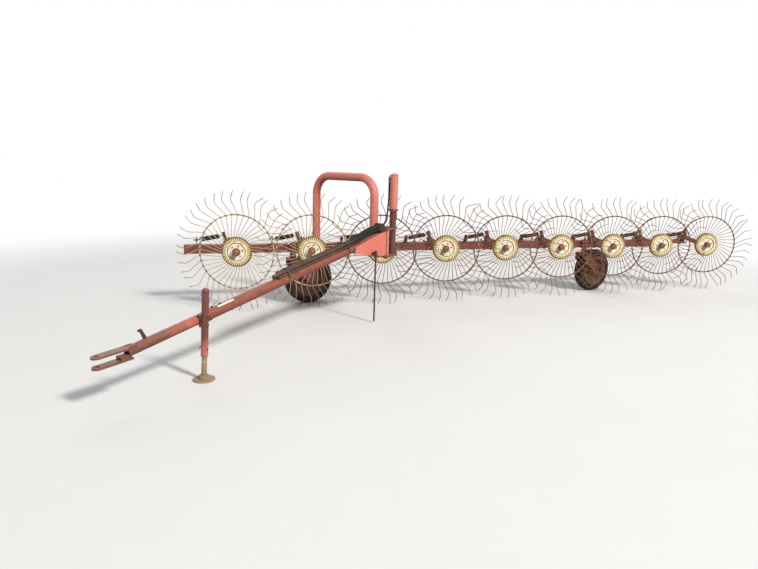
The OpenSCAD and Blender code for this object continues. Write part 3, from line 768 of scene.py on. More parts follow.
@dataclass
class Pen:
    """Collects the faces of one piece; every point is in the row frame."""

    coat: Finish
    mark: str = "reach"
    verts: list[Vector] = field(default_factory=list)
    faces: list[tuple[int, ...]] = field(default_factory=list)
    coats: list[Finish] = field(default_factory=list)
    flat: list[bool] = field(default_factory=list)
    marks: list[float] = field(default_factory=list)

    def rings(self, rings: list[list[Vector]], closed: bool = False, caps: bool = True, flat: bool = False,
              marks: list[float] | None = None) -> None:
        """Skins a row of rings of equal point count, in the pen's present coat.

        Args:
            rings: The rings in order.
            closed: True where the last ring joins the first.
            caps: True to close both ends.
            flat: True for facets, False for smooth shading.
            marks: The mark of each ring.
        """
        base, count = len(self.verts), len(rings[0])
        faces = []
        for i in range(len(rings) if closed else len(rings) - 1):
            a, b = base + i * count, base + (i + 1) % len(rings) * count
            faces += [(a + j, a + (j + 1) % count, b + (j + 1) % count, b + j) for j in range(count)]
        if caps and not closed:
            last = base + (len(rings) - 1) * count
            faces += [tuple(range(base + count - 1, base - 1, -1)), tuple(range(last, last + count))]
        self.verts += [point for ring in rings for point in ring]
        self.marks += [mark for mark in (marks or [0.0] * len(rings)) for _ in range(count)]
        self.faces += faces
        self.coats += [self.coat] * len(faces)
        self.flat += [flat] * len(faces)

    def sweep(self, path: list[Vector], radius: float | list[float], sides: int = 8, closed: bool = False,
              marks: list[float] | None = None) -> None:
        """A round bar along a path.

        Args:
            path: Its centreline.
            radius: One radius, or one for each point.
            sides: Points round it.
            closed: True for a ring.
            marks: The mark of each point.
        """
        count = len(path)
        radii = radius if isinstance(radius, list) else [radius] * count
        ways = []
        for i in range(count):
            before = path[(i - 1) % count] if closed or i else path[0]
            after = path[(i + 1) % count] if closed or i < count - 1 else path[-1]
            ways.append((after - before).normalized())
        side = ways[0].orthogonal().normalized()
        rings = []
        for point, way, size in zip(path, ways, radii):
            side = (side - way * side.dot(way)).normalized()
            other = way.cross(side)
            rings.append([point + (side * math.cos(a) + other * math.sin(a)) * size for a in angles(sides)])
        self.rings(rings, closed, marks=marks)

    def lathe(self, frame: Matrix, profile: Outline, steps: int = 48, closed: bool = False, caps: bool = True) -> None:
        """A turned form about the frame's z.

        Args:
            frame: Where it stands.
            profile: Radius and height of each ring, first to last.
            steps: Points round it.
            closed: True where the profile joins its own start.
            caps: True to close both ends of an open profile.
        """
        self.rings([circle(frame, radius, steps, z) for radius, z in profile], closed, caps)

    def plate(self, frame: Matrix, outline: Outline, low: float, high: float, edge: float = 0.001) -> None:
        """A flat plate with broken edges.

        Args:
            frame: Where it lies.
            outline: Its corners, counterclockwise.
            low: Height of its lower face.
            high: Height of its upper face.
            edge: Width of the broken edge.
        """
        centre = Vector((sum(p[0] for p in outline) / len(outline), sum(p[1] for p in outline) / len(outline)))
        rings = []
        for z, inset in ((low, edge), (low + edge, 0.0), (high - edge, 0.0), (high, edge)):
            ring = []
            for x, y in outline:
                way = Vector((x, y)) - centre
                point = centre + way * max(0.0, 1 - inset * 1.4 / max(way.length, 1e-6))
                ring.append(frame @ Vector((point.x, point.y, z)))
            rings.append(ring)
        self.rings(rings, flat=True)

    def bolt(self, frame: Matrix, size: float, shank: float = 0.0, washer: bool = True) -> None:
        """A hexagon head that stands on the frame's z = 0.

        Args:
            frame: Seat of the head; z points out of the surface.
            size: Thread diameter.
            shank: Length of thread that stands out beyond the head.
            washer: True to put a washer under it.
        """
        seat = 0.0
        if washer:
            self.plate(frame, polygon_outline(size * 1.08, 16), 0.0, size * 0.16, size * 0.04)
            seat = size * 0.16
        self.plate(frame, polygon_outline(size * 0.92, 6), seat, seat + size * 0.68, size * 0.1)
        if shank > 0:
            top = seat + size * 0.68
            rings = [(size * 0.5 * (1.0 if i % 2 else 0.86), top + shank * i / 8) for i in range(9)]
            self.lathe(frame, rings + [(size * 0.3, top + shank + size * 0.1)], 10)

    def strap(self, frame: Matrix, outline: Outline, wide: float, thick: float) -> None:
        """A flat band round an outline, its edges broken.

        Args:
            frame: Its axes; the band is as wide as it reaches along z, about z = 0.
            outline: The loop that its inner face follows, counterclockwise.
            wide: Its width.
            thick: Its thickness.
        """
        count = len(outline)
        rings = []
        for i, (x, y) in enumerate(outline):
            before, after = outline[i - 1], outline[(i + 1) % count]
            way = Vector((after[1] - before[1], before[0] - after[0])).normalized()
            half, edge = wide / 2, thick * 0.3
            section = ((0.0, -half), (thick - edge, -half), (thick, -half + edge), (thick, half - edge),
                       (thick - edge, half), (0.0, half))
            rings.append([frame @ Vector((x + way.x * out, y + way.y * out, z)) for out, z in section])
        self.rings(rings, closed=True, flat=True)

    def weld(self, path: list[Vector], size: float = 0.005, closed: bool = False, seed: int = 1) -> None:
        """A hand-laid weld bead with its ripples.

        Args:
            path: The corner that it fills.
            size: Its radius.
            closed: True for a bead all the way round.
            seed: Which unevenness.
        """
        dice = random.Random(seed)
        points = resample(path, size * 0.9, closed)
        radii = [size * (0.78 + 0.3 * (i % 3 == 0) + dice.uniform(-0.12, 0.12)) for i in range(len(points))]
        self.sweep(points, radii, 6, closed)

    def build(self, name: str, body: str, *stands_for: str) -> None:
        """Turns what was drawn into one piece.

        Args:
            name: The piece's name.
            body: The body it rides on.
            stands_for: CAD nodes that it replaces.
        """
        mesh = bpy.data.meshes.new(name)
        mesh.from_pydata([tuple(v) for v in self.verts], [], self.faces)
        order = {coat: i for i, coat in enumerate(dict.fromkeys(self.coats))}
        for coat in order:
            mesh.materials.append(coat.material())
        mesh.polygons.foreach_set("material_index", [order[coat] for coat in self.coats])
        mesh.polygons.foreach_set("use_smooth", [not facet for facet in self.flat])
        if any(self.marks):
            layer = mesh.attributes.new(self.mark, "FLOAT", "POINT")
            layer.data.foreach_set("value", self.marks)
        mesh.validate()
        mesh.update()
        piece = bpy.data.objects.new(name, mesh)
        bpy.context.scene.collection.objects.link(piece)
        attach(piece, body)
        if stands_for:
            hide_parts(*stands_for)
        log.info("%s: %d faces on %s", name, len(self.faces), body)


def belt_outline(circles: list[Triple], steps: int = 48) -> Outline:
    """The loop of a belt round some circles, counterclockwise.

    Args:
        circles: Middle and radius of each.
        steps: Points that each circle gives.

    Returns:
        The corners of the hull.
    """
    points = sorted({(round(x + u, 7), round(y + v, 7)) for x, y, r in circles for u, v in polygon_outline(r, steps)})
    halves = []
    for row in (points, points[::-1]):
        chain: Outline = []
        for q in row:
            while len(chain) > 1 and ((chain[-1][0] - chain[-2][0]) * (q[1] - chain[-2][1])
                                      - (chain[-1][1] - chain[-2][1]) * (q[0] - chain[-2][0])) <= 0:
                chain.pop()
            chain.append(q)
        halves += chain[:-1]
    return halves


def resample(path: list[Vector], gap: float, closed: bool = False) -> list[Vector]:
    """Points at an even distance along a path.

    Args:
        path: The corners.
        gap: The wanted distance.
        closed: True where the last corner joins the first.

    Returns:
        The new points.
    """
    corners = path + [path[0]] if closed else path
    lengths = [(b - a).length for a, b in zip(corners, corners[1:])]
    total = sum(lengths)
    count = max(3, round(total / gap))
    points, at, done = [], 0, 0.0
    for i in range(count if closed else count + 1):
        want = total * i / count
        while at < len(lengths) - 1 and done + lengths[at] < want:
            done += lengths[at]
            at += 1
        share = (want - done) / lengths[at] if lengths[at] else 0.0
        points.append(corners[at].lerp(corners[at + 1], min(1.0, share)))
    return points


def rounded(path: list[Vector], radius: float, steps: int = 5) -> list[Vector]:
    """A path whose inner corners are rounded.

    Args:
        path: The corners.
        radius: How far the rounding reaches from a corner.
        steps: Points for each corner.

    Returns:
        The smooth path.
    """
    out = [path[0]]
    for before, corner, after in zip(path, path[1:], path[2:]):
        a = corner + (before - corner).normalized() * min(radius, (before - corner).length * 0.45)
        b = corner + (after - corner).normalized() * min(radius, (after - corner).length * 0.45)
        for i in range(steps + 1):
            t = i / steps
            out.append(a * (1 - t) ** 2 + corner * (2 * t * (1 - t)) + b * t ** 2)
    out.append(path[-1])
    return out


def spline(points: list[Vector], steps: int = 8) -> list[Vector]:
    """A smooth curve through the points.

    Args:
        points: What it passes through.
        steps: New points for each stretch.

    Returns:
        The curve's points.
    """
    ends = [points[0] * 2 - points[1], *points, points[-1] * 2 - points[-2]]
    out = []
    for a, b, c, d in zip(ends, ends[1:], ends[2:], ends[3:]):
        for i in range(steps):
            t = i / steps
            out.append(0.5 * (b * 2 + (c - a) * t + (a * 2 - b * 5 + c * 4 - d) * t ** 2
                              + (b * 3 - a - c * 3 + d) * t ** 3))
    return out + [points[-1]]


def wheel_frame(number: int) -> Matrix:
    """Rake wheel number's own axes: x right, y up, z to the front; the first is 0."""
    return ROW @ shift(number * PITCH, 0.0, HUB_Z) @ turn("Z", -WHEEL_SET) @ turn("X", 90)


def over(place: Vector, z: float) -> Matrix:
    """The row's axes over a place on the ground, at height z."""
    return ROW @ shift(place.x, place.y, z)


# Sub-assemblies


class SubAssembly:
    """A part of the rake: CAD nodes that it dresses and pieces that it draws."""

    def dressing(self) -> dict[Finish, str]:
        """The CAD nodes of each finish, their names with spaces between."""
        raise NotImplementedError

    def draw(self) -> None:
        """Builds the pieces."""
        raise NotImplementedError

    def make(self, frame: dict) -> None:
        """Dresses the CAD nodes and builds the pieces.

        Args:
            frame: The loaded frame.
        """
        for finish, names in self.dressing().items():
            for name in names.split():
                piece = frame["nodes"][name]
                if not piece.material_slots:
                    piece.data.materials.append(None)
                for place in piece.material_slots:
                    place.material = finish.material()
        self.draw()
        log.info("%s built", type(self).__name__)


class Dented(Enum):
    """How much a rake wheel's tines have been knocked about."""

    LITTLE = 0.5
    SOME = 1.0
    MUCH = 1.7


@dataclass
class RakeWheel(SubAssembly):
    """One ground-driven wheel: sprung tines on a tie ring, clamped between hub plates."""

    number: int
    wear: Dented
    tip: float = 0.6785
    ring: float = 0.415
    knee: float = 0.5870
    plate: float = 0.170
    front: float = 0.012
    tines: int = 40
    wire: float = 0.0039
    lag: float = 12.0
    turned: float = 3.0
    knee_sway: float = 0.9
    tip_sway: float = 1.3
    lift_sway: float = 0.004
    bent_share: float = 0.035
    bent_by: tuple[float, float] = (-7.0, 6.0)
    holes: int = 6
    hole_circle: float = 0.067
    cap_r: float = 0.0465
    cap_out: float = 0.062
    frame: Matrix = field(init=False)
    dice: random.Random = field(init=False)
    name: str = field(init=False)
    body: str = field(init=False)
    paint: HubPaint = field(init=False)

    def __post_init__(self) -> None:
        """Works out the wheel's axes, its paint and its own dice."""
        self.frame = wheel_frame(self.number) @ turn("Z", self.turned * self.number)
        self.dice = random.Random(40 + self.number)
        self.name = str(self.number + 1)
        self.body = "rake_wheel_" + self.name
        axle = self.frame.to_3x3() @ Vector((0, 0, 1))
        rusted = 0.35 + 0.5 * random.Random(7 + self.number).random()
        # The painted shadow of the cap falls to the lower left of the hub, as the wheel stands at rest.
        fall = wheel_frame(self.number).to_3x3() @ Vector((-0.563, -0.826, 0.0))
        self.paint = HubPaint("hub_paint_" + self.name, "cream_paint", tuple(self.frame.translation), tuple(axle),
                              tuple(fall), rusted)

    def root(self, place: float) -> float:
        """The angle of tine number place at the hub, in degrees; halves lie between tines."""
        return 90 + 360 / self.tines * place

    def point(self, radius: float, degrees: float, z: float) -> Vector:
        """A point of the wheel by radius, angle and distance to the front."""
        a = math.radians(degrees)
        return self.frame @ Vector((radius * math.cos(a), radius * math.sin(a), z))

    def tine(self, pen: Pen, place: float) -> None:
        """Draws one tine.

        Args:
            pen: What it is drawn with.
            place: Its angle at the hub, in degrees.
        """
        much = self.wear.value
        knee_off = self.dice.gauss(0, self.knee_sway) * much
        tip_off = knee_off + self.dice.gauss(0, self.tip_sway) * much
        lift = self.dice.gauss(0, self.lift_sway) * much
        if self.dice.random() < self.bent_share * much:
            tip_off += self.dice.choice(self.bent_by)
        corners = [(self.plate - 0.02, 0.0, 0.0), (self.plate + 0.03, -1.1, 0.0), (self.ring, -self.lag, 0.0035),
                   (self.knee, -3.0 + knee_off, 0.002 + lift * 0.6), (self.tip, -6.0 + tip_off, lift)]
        path = rounded([self.point(r, place + a, z) for r, a, z in corners], 0.034, 4)
        hub = self.frame @ Vector()
        pen.sweep(path, self.wire, 6, marks=[(p - hub).length / self.tip for p in path])

    def staple(self, pen: Pen, place: float) -> None:
        """Draws the clip that holds a tine to the ring.

        Args:
            pen: What it is drawn with.
            place: The tine's angle at the hub, in degrees.
        """
        at = place - self.lag
        half = 0.0095
        path = []
        for along, z in ((-1.0, -0.007), (-1.0, 0.002), (-0.62, 0.0085), (0.0, 0.0102), (0.62, 0.0085),
                         (1.0, 0.002), (1.0, -0.007)):
            path.append(self.point(self.ring, at + math.degrees(along * half / self.ring), z))
        for off in (-0.0045, 0.0045):
            way = (self.point(self.ring + off, at, 0.0) - self.point(self.ring, at, 0.0))
            pen.sweep([p + way for p in path], 0.0019, 5)

    def draw_tines(self) -> None:
        """Tines, tie ring and clips, in place of the solid wheel."""
        wire, ring = (Coat.WIRE, Coat.RING) if self.number > 1 else (Coat.PALE_WIRE, Coat.PALE_RING)
        pen = Pen(wire)
        for i in range(self.tines):
            self.tine(pen, self.root(i))
        pen.coat = Coat.BOLT
        for i in range(self.tines):
            self.staple(pen, self.root(i))
        pen.coat = ring
        steps = self.tines * 3
        rings = []
        for i in range(steps):
            at = 90 - self.lag + 360 / steps * i
            sway = self.dice.gauss(0, 0.0003)
            section = mm(-8, -6, -7.2, -6.8, 7.2, -6.8, 8, -6, 8, -1.4, 7.2, -0.6, -7.2, -0.6, -8, -1.4)
            rings.append([self.point(self.ring + r + sway, at, z) for r, z in section])
        pen.rings(rings, closed=True)
        pen.build("wheel_wires_" + self.name, self.body, "rake_tines_" + self.name)

    def draw_plate(self) -> None:
        """The pressed front plate: lip of the dish, a flute over each tine, rolled rim, rivets and hole rims."""
        pen = Pen(self.paint, "crest")
        profile = mm(100.8, 0.4, 102.2, 1.2, 103.2, 5, 104.2, 8.6, 105.8, 10.6, 109, 11.2, 112.5, 10.8, 116.5, 9.6,
                     122.5, 7.6, 128.5, 5.6, 135, 3.4, 142, 1, 149, -1.4, 153, -2.6, 156, -3.4, 158.8, -4, 159.8, -5.8,
                     159, -7.8)
        offsets = (-0.5, -0.41, -0.345, -0.29, -0.14, 0.0, 0.14, 0.29, 0.345, 0.41)
        flutes = {-0.345: 0.22, -0.29: 0.94, -0.14: 1.0, 0.0: 1.02, 0.14: 1.0, 0.29: 0.94, 0.345: 0.22}
        rings, crests = [], []
        for radius, rise in profile:
            ease = min(1.0, max(0.0, (radius - 0.1175) / 0.010)) * min(1.0, max(0.0, (0.1568 - radius) / 0.0035))
            ring = []
            for i in range(self.tines):
                for off in offsets:
                    at = self.root(i + off)
                    dent = noise.noise(Vector((radius * 30, at / 19, self.number * 3.1))) * 0.0006
                    crest = max(rise, 0.0060 + 0.0002 * math.cos(off * math.pi))
                    height = rise + (crest - rise) * flutes.get(off, 0.0) * ease
                    ring.append(self.point(radius, at, self.front + height + dent))
                    crests.append(flutes.get(off, 0.0) if radius > 0.117 else 1.0)
            rings.append(ring)
        pen.rings(rings, caps=False)
        pen.marks = crests
        pen.coat = Coat.BOLT
        for i in range(self.tines):
            at = self.root(i + 0.5)
            seat = Matrix.Translation(self.point(0.1462, at, self.front - 0.0004)) @ self.frame.to_3x3().to_4x4()
            pen.lathe(seat, mm(4.6, 0, 4.4, 1.6, 3, 3.2, 0.4, 3.8), 8)
        for i in range(self.holes):
            spoke = wheel_frame(self.number) @ turn("Z", 15 + 360 / self.holes * i)
            hole = spoke @ shift(self.hole_circle, 0.0, self.front)
            pen.lathe(hole, mm(8.8, -3, 9.2, 0.5, 10.4, 0.7, 11.2, 0.2), 20, caps=False)
        pen.coat = self.paint
        pen.weld(circle(self.frame, self.cap_r, 40, self.front + 0.001), 0.0034, True, self.number)
        for i in range(self.tines):
            at = self.root(i)
            root = [self.point(r, at + a, z) for r, a, z in ((0.1575, 0.0, 0.0035), (0.1625, -0.1, 0.0052),
                                                            (0.1680, -0.2, 0.0044), (0.1715, -0.3, 0.0030))]
            pen.sweep(root, 0.0046, 6)
        pen.build("hub_band_" + self.name, self.body)

    def draw_cap(self) -> None:
        """The cap over the bearing with its rolled lip, and a grease nipple on its nose."""
        pen = Pen(Coat.CAP)
        nose = self.front + self.cap_out
        lip = [(r, self.front + z) for r, z in mm(47, 0.8, 46.4, 2.2, 42, 5, 38.4, 8.8, 37.2, 13)]
        end = [(r, nose + z) for r, z in mm(37, -24, 38, -21, 38, -16, 36.6, -13.5, 33, -8.5, 26.2, -2.2, 20, 0.6,
                                            0.6, 1)]
        pen.lathe(self.frame, lip + end, 40)
        pen.coat = Coat.BOLT
        nipple = self.frame @ shift(0.0, 0.0, nose)
        pen.lathe(nipple, mm(5.5, 0, 5.5, 4, 3, 5, 3, 8, 3.8, 9.5, 1.5, 12), 8)
        pen.build("hub_cap_" + self.name, self.body)

    def dressing(self) -> dict[Finish, str]:
        """The CAD nodes of each finish."""
        return {self.paint: "rake_hub_" + self.name}

    def draw(self) -> None:
        """Builds tines, front plate and cap."""
        self.draw_tines()
        self.draw_plate()
        self.draw_cap()


@dataclass
class Toolbar(SubAssembly):
    """The square bar behind the wheels, its extension, sleeves and clamps."""

    start: float = -0.560
    flange: float = 0.120
    flange_bolt: float = 0.038
    clamp_off: float = 0.052
    sleeve_mid: float = -0.350
    collars: tuple[float, float] = (-0.281, -0.419)

    def sleeve_x(self, number: int) -> float:
        """Where wheel number's sleeve crosses the toolbar, along the row."""
        a = math.radians(WHEEL_SET)
        return number * PITCH + PIVOT_U * math.cos(a) - self.sleeve_mid * math.sin(a)

    def clamp(self, pen: Pen, x: float, side: float) -> None:
        """A square U-bolt round the toolbar with its nuts.

        Args:
            pen: What it is drawn with.
            x: Its place along the row.
            side: Side length of the bar that it goes round.
        """
        half = side / 2 + 0.006
        mid = BAR_Z + (BAR - side) / 2
        top = mid + side / 2 + 0.030
        path = [Vector((x, BAR_Y - half, top)), Vector((x, BAR_Y - half, mid - half)),
                Vector((x, BAR_Y + half, mid - half)), Vector((x, BAR_Y + half, top))]
        pen.coat = Coat.BOLT
        pen.sweep(rounded([ROW @ p for p in path], 0.016, 4), 0.006, 8)
        for y in (-half, half):
            pen.bolt(ROW @ shift(x, BAR_Y + y, mid + side / 2 + 0.008), 0.012, 0.008)

    def dressing(self) -> dict[Finish, str]:
        """The CAD nodes of each finish."""
        return {Coat.BAR: "toolbar bar_extension castor_sleeves", Coat.DARK: "crank_sleeves spring_posts"}

    def draw(self) -> None:
        """Builds the clamps with their plates, the ends and the sleeves' trim."""
        pen = Pen(Coat.BAR)
        for k in range(WHEELS):
            x = self.sleeve_x(k)
            side = STUB if k == WHEELS - 1 else BAR
            pen.coat = Coat.BAR
            seat = ROW @ shift(x, BAR_Y, BAR_Z + BAR / 2)
            pen.plate(seat, rectangle(0.066, 0.062), 0.0, 0.008)
            for off in (-self.clamp_off, self.clamp_off):
                self.clamp(pen, x + off, side)
        pen.build("toolbar_clamps", "frame")
        self.draw_ends()
        self.draw_sleeve_trim()

    def draw_ends(self) -> None:
        """The plate on the bar's near end and the flange bolts of the extension."""
        pen = Pen(Coat.BAR)
        start = ROW @ shift(self.start, BAR_Y, BAR_Z)
        pen.plate(start @ turn("Y", 90), rectangle(BAR / 2, BAR / 2), 0.0005, 0.004)
        flange = ROW @ shift((WHEELS - 2) * PITCH + self.flange, BAR_Y, BAR_Z) @ turn("Y", 90)
        pen.coat = Coat.BOLT
        for x in (-self.flange_bolt, self.flange_bolt):
            for y in (-self.flange_bolt, self.flange_bolt):
                pen.bolt(flange @ shift(x, y, 0.010), 0.014)
        pen.build("toolbar_ends", "frame")

    def draw_sleeve_trim(self) -> None:
        """Grease nipples and end collars on the crank sleeves."""
        pen = Pen(Coat.BOLT)
        for k in range(WHEELS):
            axes = wheel_frame(k) @ shift(PIVOT_U, PIVOT_Z - HUB_Z, 0.0)
            for z in self.collars:
                pen.lathe(axes @ shift(0, 0, z - 0.004), mm(36.8, 0, 38.2, 2, 38.2, 9, 36.8, 11), 28)
            top = axes @ shift(0.0, 0.036, self.sleeve_mid) @ turn("X", -90)
            pen.lathe(top, mm(6, -2, 6, 4, 3, 6, 3, 10, 4.2, 12, 1.6, 15), 8)
        pen.build("sleeve_trim", "frame")


@dataclass
class FloatGear(SubAssembly):
    """Cranks that carry the wheels, their leaning levers and coil springs."""

    lean: float = math.degrees(math.atan2(0.040, 0.118))
    lever: float = 0.044
    arm_n: float = -0.250
    hook_up: float = 0.088
    dip: float = 10.0
    length: float = 0.280
    coil_r: float = 0.0228
    wire: float = 0.0047
    turns: int = 25
    shaft_end: float = -0.450

    def spring_end(self, number: int) -> Vector:
        """Where a spring meets its lever.

        Args:
            number: The wheel, from 0.

        Returns:
            The point in row axes.
        """
        a, lean = math.radians(WHEEL_SET), math.radians(self.lean)
        u = PIVOT_U - self.lever / 2 * math.cos(lean) - self.hook_up * math.sin(lean)
        n = self.arm_n - 0.008
        z = PIVOT_Z + self.hook_up * math.cos(lean) - self.lever / 2 * math.sin(lean)
        return Vector((number * PITCH + u * math.cos(a) - n * math.sin(a), -u * math.sin(a) - n * math.cos(a), z))

    def coil(self, pen: Pen, number: int) -> None:
        """Draws one spring with its hooks.

        Args:
            pen: What it is drawn with.
            number: The wheel, from 0.
        """
        axes = ROW @ Matrix.Translation(self.spring_end(number)) @ turn("Y", -self.dip)
        low = -self.length / math.cos(math.radians(self.dip))
        first, last = low + 0.030, -0.030
        path = [axes @ Vector((low - 0.002, 0, 0)), axes @ Vector((low + 0.014, 0, 0))]
        steps = self.turns * 12
        for i in range(steps + 1):
            a = math.tau * i / 12
            r = self.coil_r * (0.25 + 0.75 * min(1.0, i / 8, (steps - i) / 8))
            path.append(axes @ Vector((first + (last - first) * i / steps, r * math.sin(a), r * math.cos(a))))
        path += [axes @ Vector((-0.014, 0, 0)), axes @ Vector((0.004, 0, 0))]
        pen.sweep(path, self.wire, 6)

    def dressing(self) -> dict[Finish, str]:
        """The CAD nodes of each finish."""
        return {Coat.CRANK: "float_cranks"}

    def draw(self) -> None:
        """Builds springs, eye bolts and pinch bolts."""
        pen = Pen(Coat.SPRING)
        for k in range(WHEELS):
            self.coil(pen, k)
        pen.build("float_coils", "frame", "float_springs")
        pen = Pen(Coat.BOLT)
        for k in range(WHEELS):
            end = self.spring_end(k)
            low = end - Vector((self.length, 0.0, self.length * math.tan(math.radians(self.dip))))
            post = ROW @ Matrix.Translation(low) @ turn("Y", -90)
            pen.bolt(post @ shift(0, 0, 0.008), 0.012, 0.022)
            pen.bolt(post @ turn("X", 180), 0.012)
            axes = wheel_frame(k)
            for x, y in ((PIVOT_U, PIVOT_Z - HUB_Z), (0.0, 0.0)):
                pen.lathe(axes @ shift(x, y, self.arm_n - 0.0165), mm(19.5, -4, 21.5, -3, 21.5, 0, 19.5, 1), 24)
            pivot = axes @ shift(PIVOT_U, PIVOT_Z - HUB_Z, 0.0)
            face = pivot @ shift(0, 0, self.arm_n - 0.001) @ turn("Z", self.lean)
            pen.bolt(face @ shift(0.0, self.hook_up, 0.0), 0.014)
            pen.bolt(face @ shift(0.0, self.hook_up + 0.024, 0.0), 0.008, washer=False)
            pen.lathe(pivot @ shift(0, 0, self.arm_n), mm(30, -1, 30, 4, 27, 6, 0.6, 6.4), 28)
            pen.bolt(pivot @ shift(0, 0, self.shaft_end) @ turn("X", 180), 0.020)
        pen.build("crank_bolts", "frame")


@dataclass
class HoopAndMast(SubAssembly):
    """The bent tube over the wheels, its saddle, and the mast with its collar."""

    hoop_r: float = 0.0475
    low_r: float = 0.038
    high_r: float = 0.046
    low: float = 0.699
    collar: float = 1.198
    top: float = 1.589
    collar_bolts: Triple = (200, 320, 80)

    def dressing(self) -> dict[Finish, str]:
        """The CAD nodes of each finish."""
        return {Coat.HOOP: "hoop", Coat.MAST: "mast mast_rib", Coat.BAR: "hoop_saddle mast_collar"}

    def draw(self) -> None:
        """Builds the trim of hoop and mast."""
        self.draw_hoop_trim()
        self.draw_mast_trim()

    def draw_hoop_trim(self) -> None:
        """Weld beads at both feet and the saddle's bolts."""
        pen = Pen(Coat.WELD)
        foot = over(HOOP_REAR, BAR_Z + BAR / 2 + 0.012)
        pen.weld(circle(foot, self.hoop_r + 0.002, 40, 0.002), 0.0055, True, 3)
        front = over(HOOP_FRONT, self.low)
        pen.weld(circle(front, self.hoop_r + 0.002, 40, 0.002), 0.0055, True, 4)
        pen.coat = Coat.BOLT
        for x in (-0.076, 0.076):
            for y in (-0.034, 0.034):
                pen.bolt(foot @ shift(x, y, 0.0), 0.014, 0.008)
        pen.build("hoop_trim", "frame")

    def draw_mast_trim(self) -> None:
        """Weld at the foot, the domed cap's seam and the collar's bolts."""
        pen = Pen(Coat.WELD)
        foot = over(MAST, self.low)
        pen.weld(circle(foot, self.low_r + 0.002, 40, 0.002), 0.0055, True, 5)
        top = over(MAST, self.top)
        pen.weld(circle(top, self.high_r - 0.0010, 40, 0.0), 0.0022, True, 6)
        pen.coat = Coat.BOLT
        collar = over(MAST, self.collar)
        for degrees in self.collar_bolts:
            pen.bolt(collar @ turn("Z", degrees) @ turn("Y", 90) @ shift(0, 0, 0.0528), 0.010, washer=False)
        pen.build("mast_trim", "frame")


@dataclass
class Hinge(SubAssembly):
    """Bracket plates, pin and sleeve that the tongue swings on."""

    low: float = 0.700
    high: float = 0.980
    lug: float = 0.020

    def dressing(self) -> dict[Finish, str]:
        """The CAD nodes of each finish."""
        return {Coat.BAR: "hinge_bracket", Coat.BOLT: "hinge_pin", Coat.GUSSET: "hinge_sleeve"}

    def draw(self) -> None:
        """Builds the pin's trim and the lug's weld."""
        pen = Pen(Coat.BOLT)
        head = over(HINGE, self.high + 0.001 + self.lug + 0.024)
        pen.lathe(head, mm(30, -20, 30.8, -18, 30.8, -4, 28, 0, 12, 2, 0.8, 2.2), 32)
        foot = over(HINGE, self.low - 0.001 - self.lug)
        pen.lathe(foot, mm(18.2, -9, 26, -9, 27, -8, 27, -1, 18.2, 0), 24)
        cotter = foot @ shift(0.0, 0.0, -0.014)
        path = spots(cotter, -36, 4, 0, -30, 0, 0, 26, 0, 0, 32, -6, -4)
        pen.sweep(rounded(path, 0.006, 3), 0.0025, 6)
        pen.build("hinge_trim", "frame")
        pen = Pen(Coat.WELD)
        top = over(MAST, self.high + 0.001 + self.lug)
        pen.weld(circle(top, 0.0395, 40, 0.002), 0.005, True, 8)
        pen.build("lug_weld", "frame")


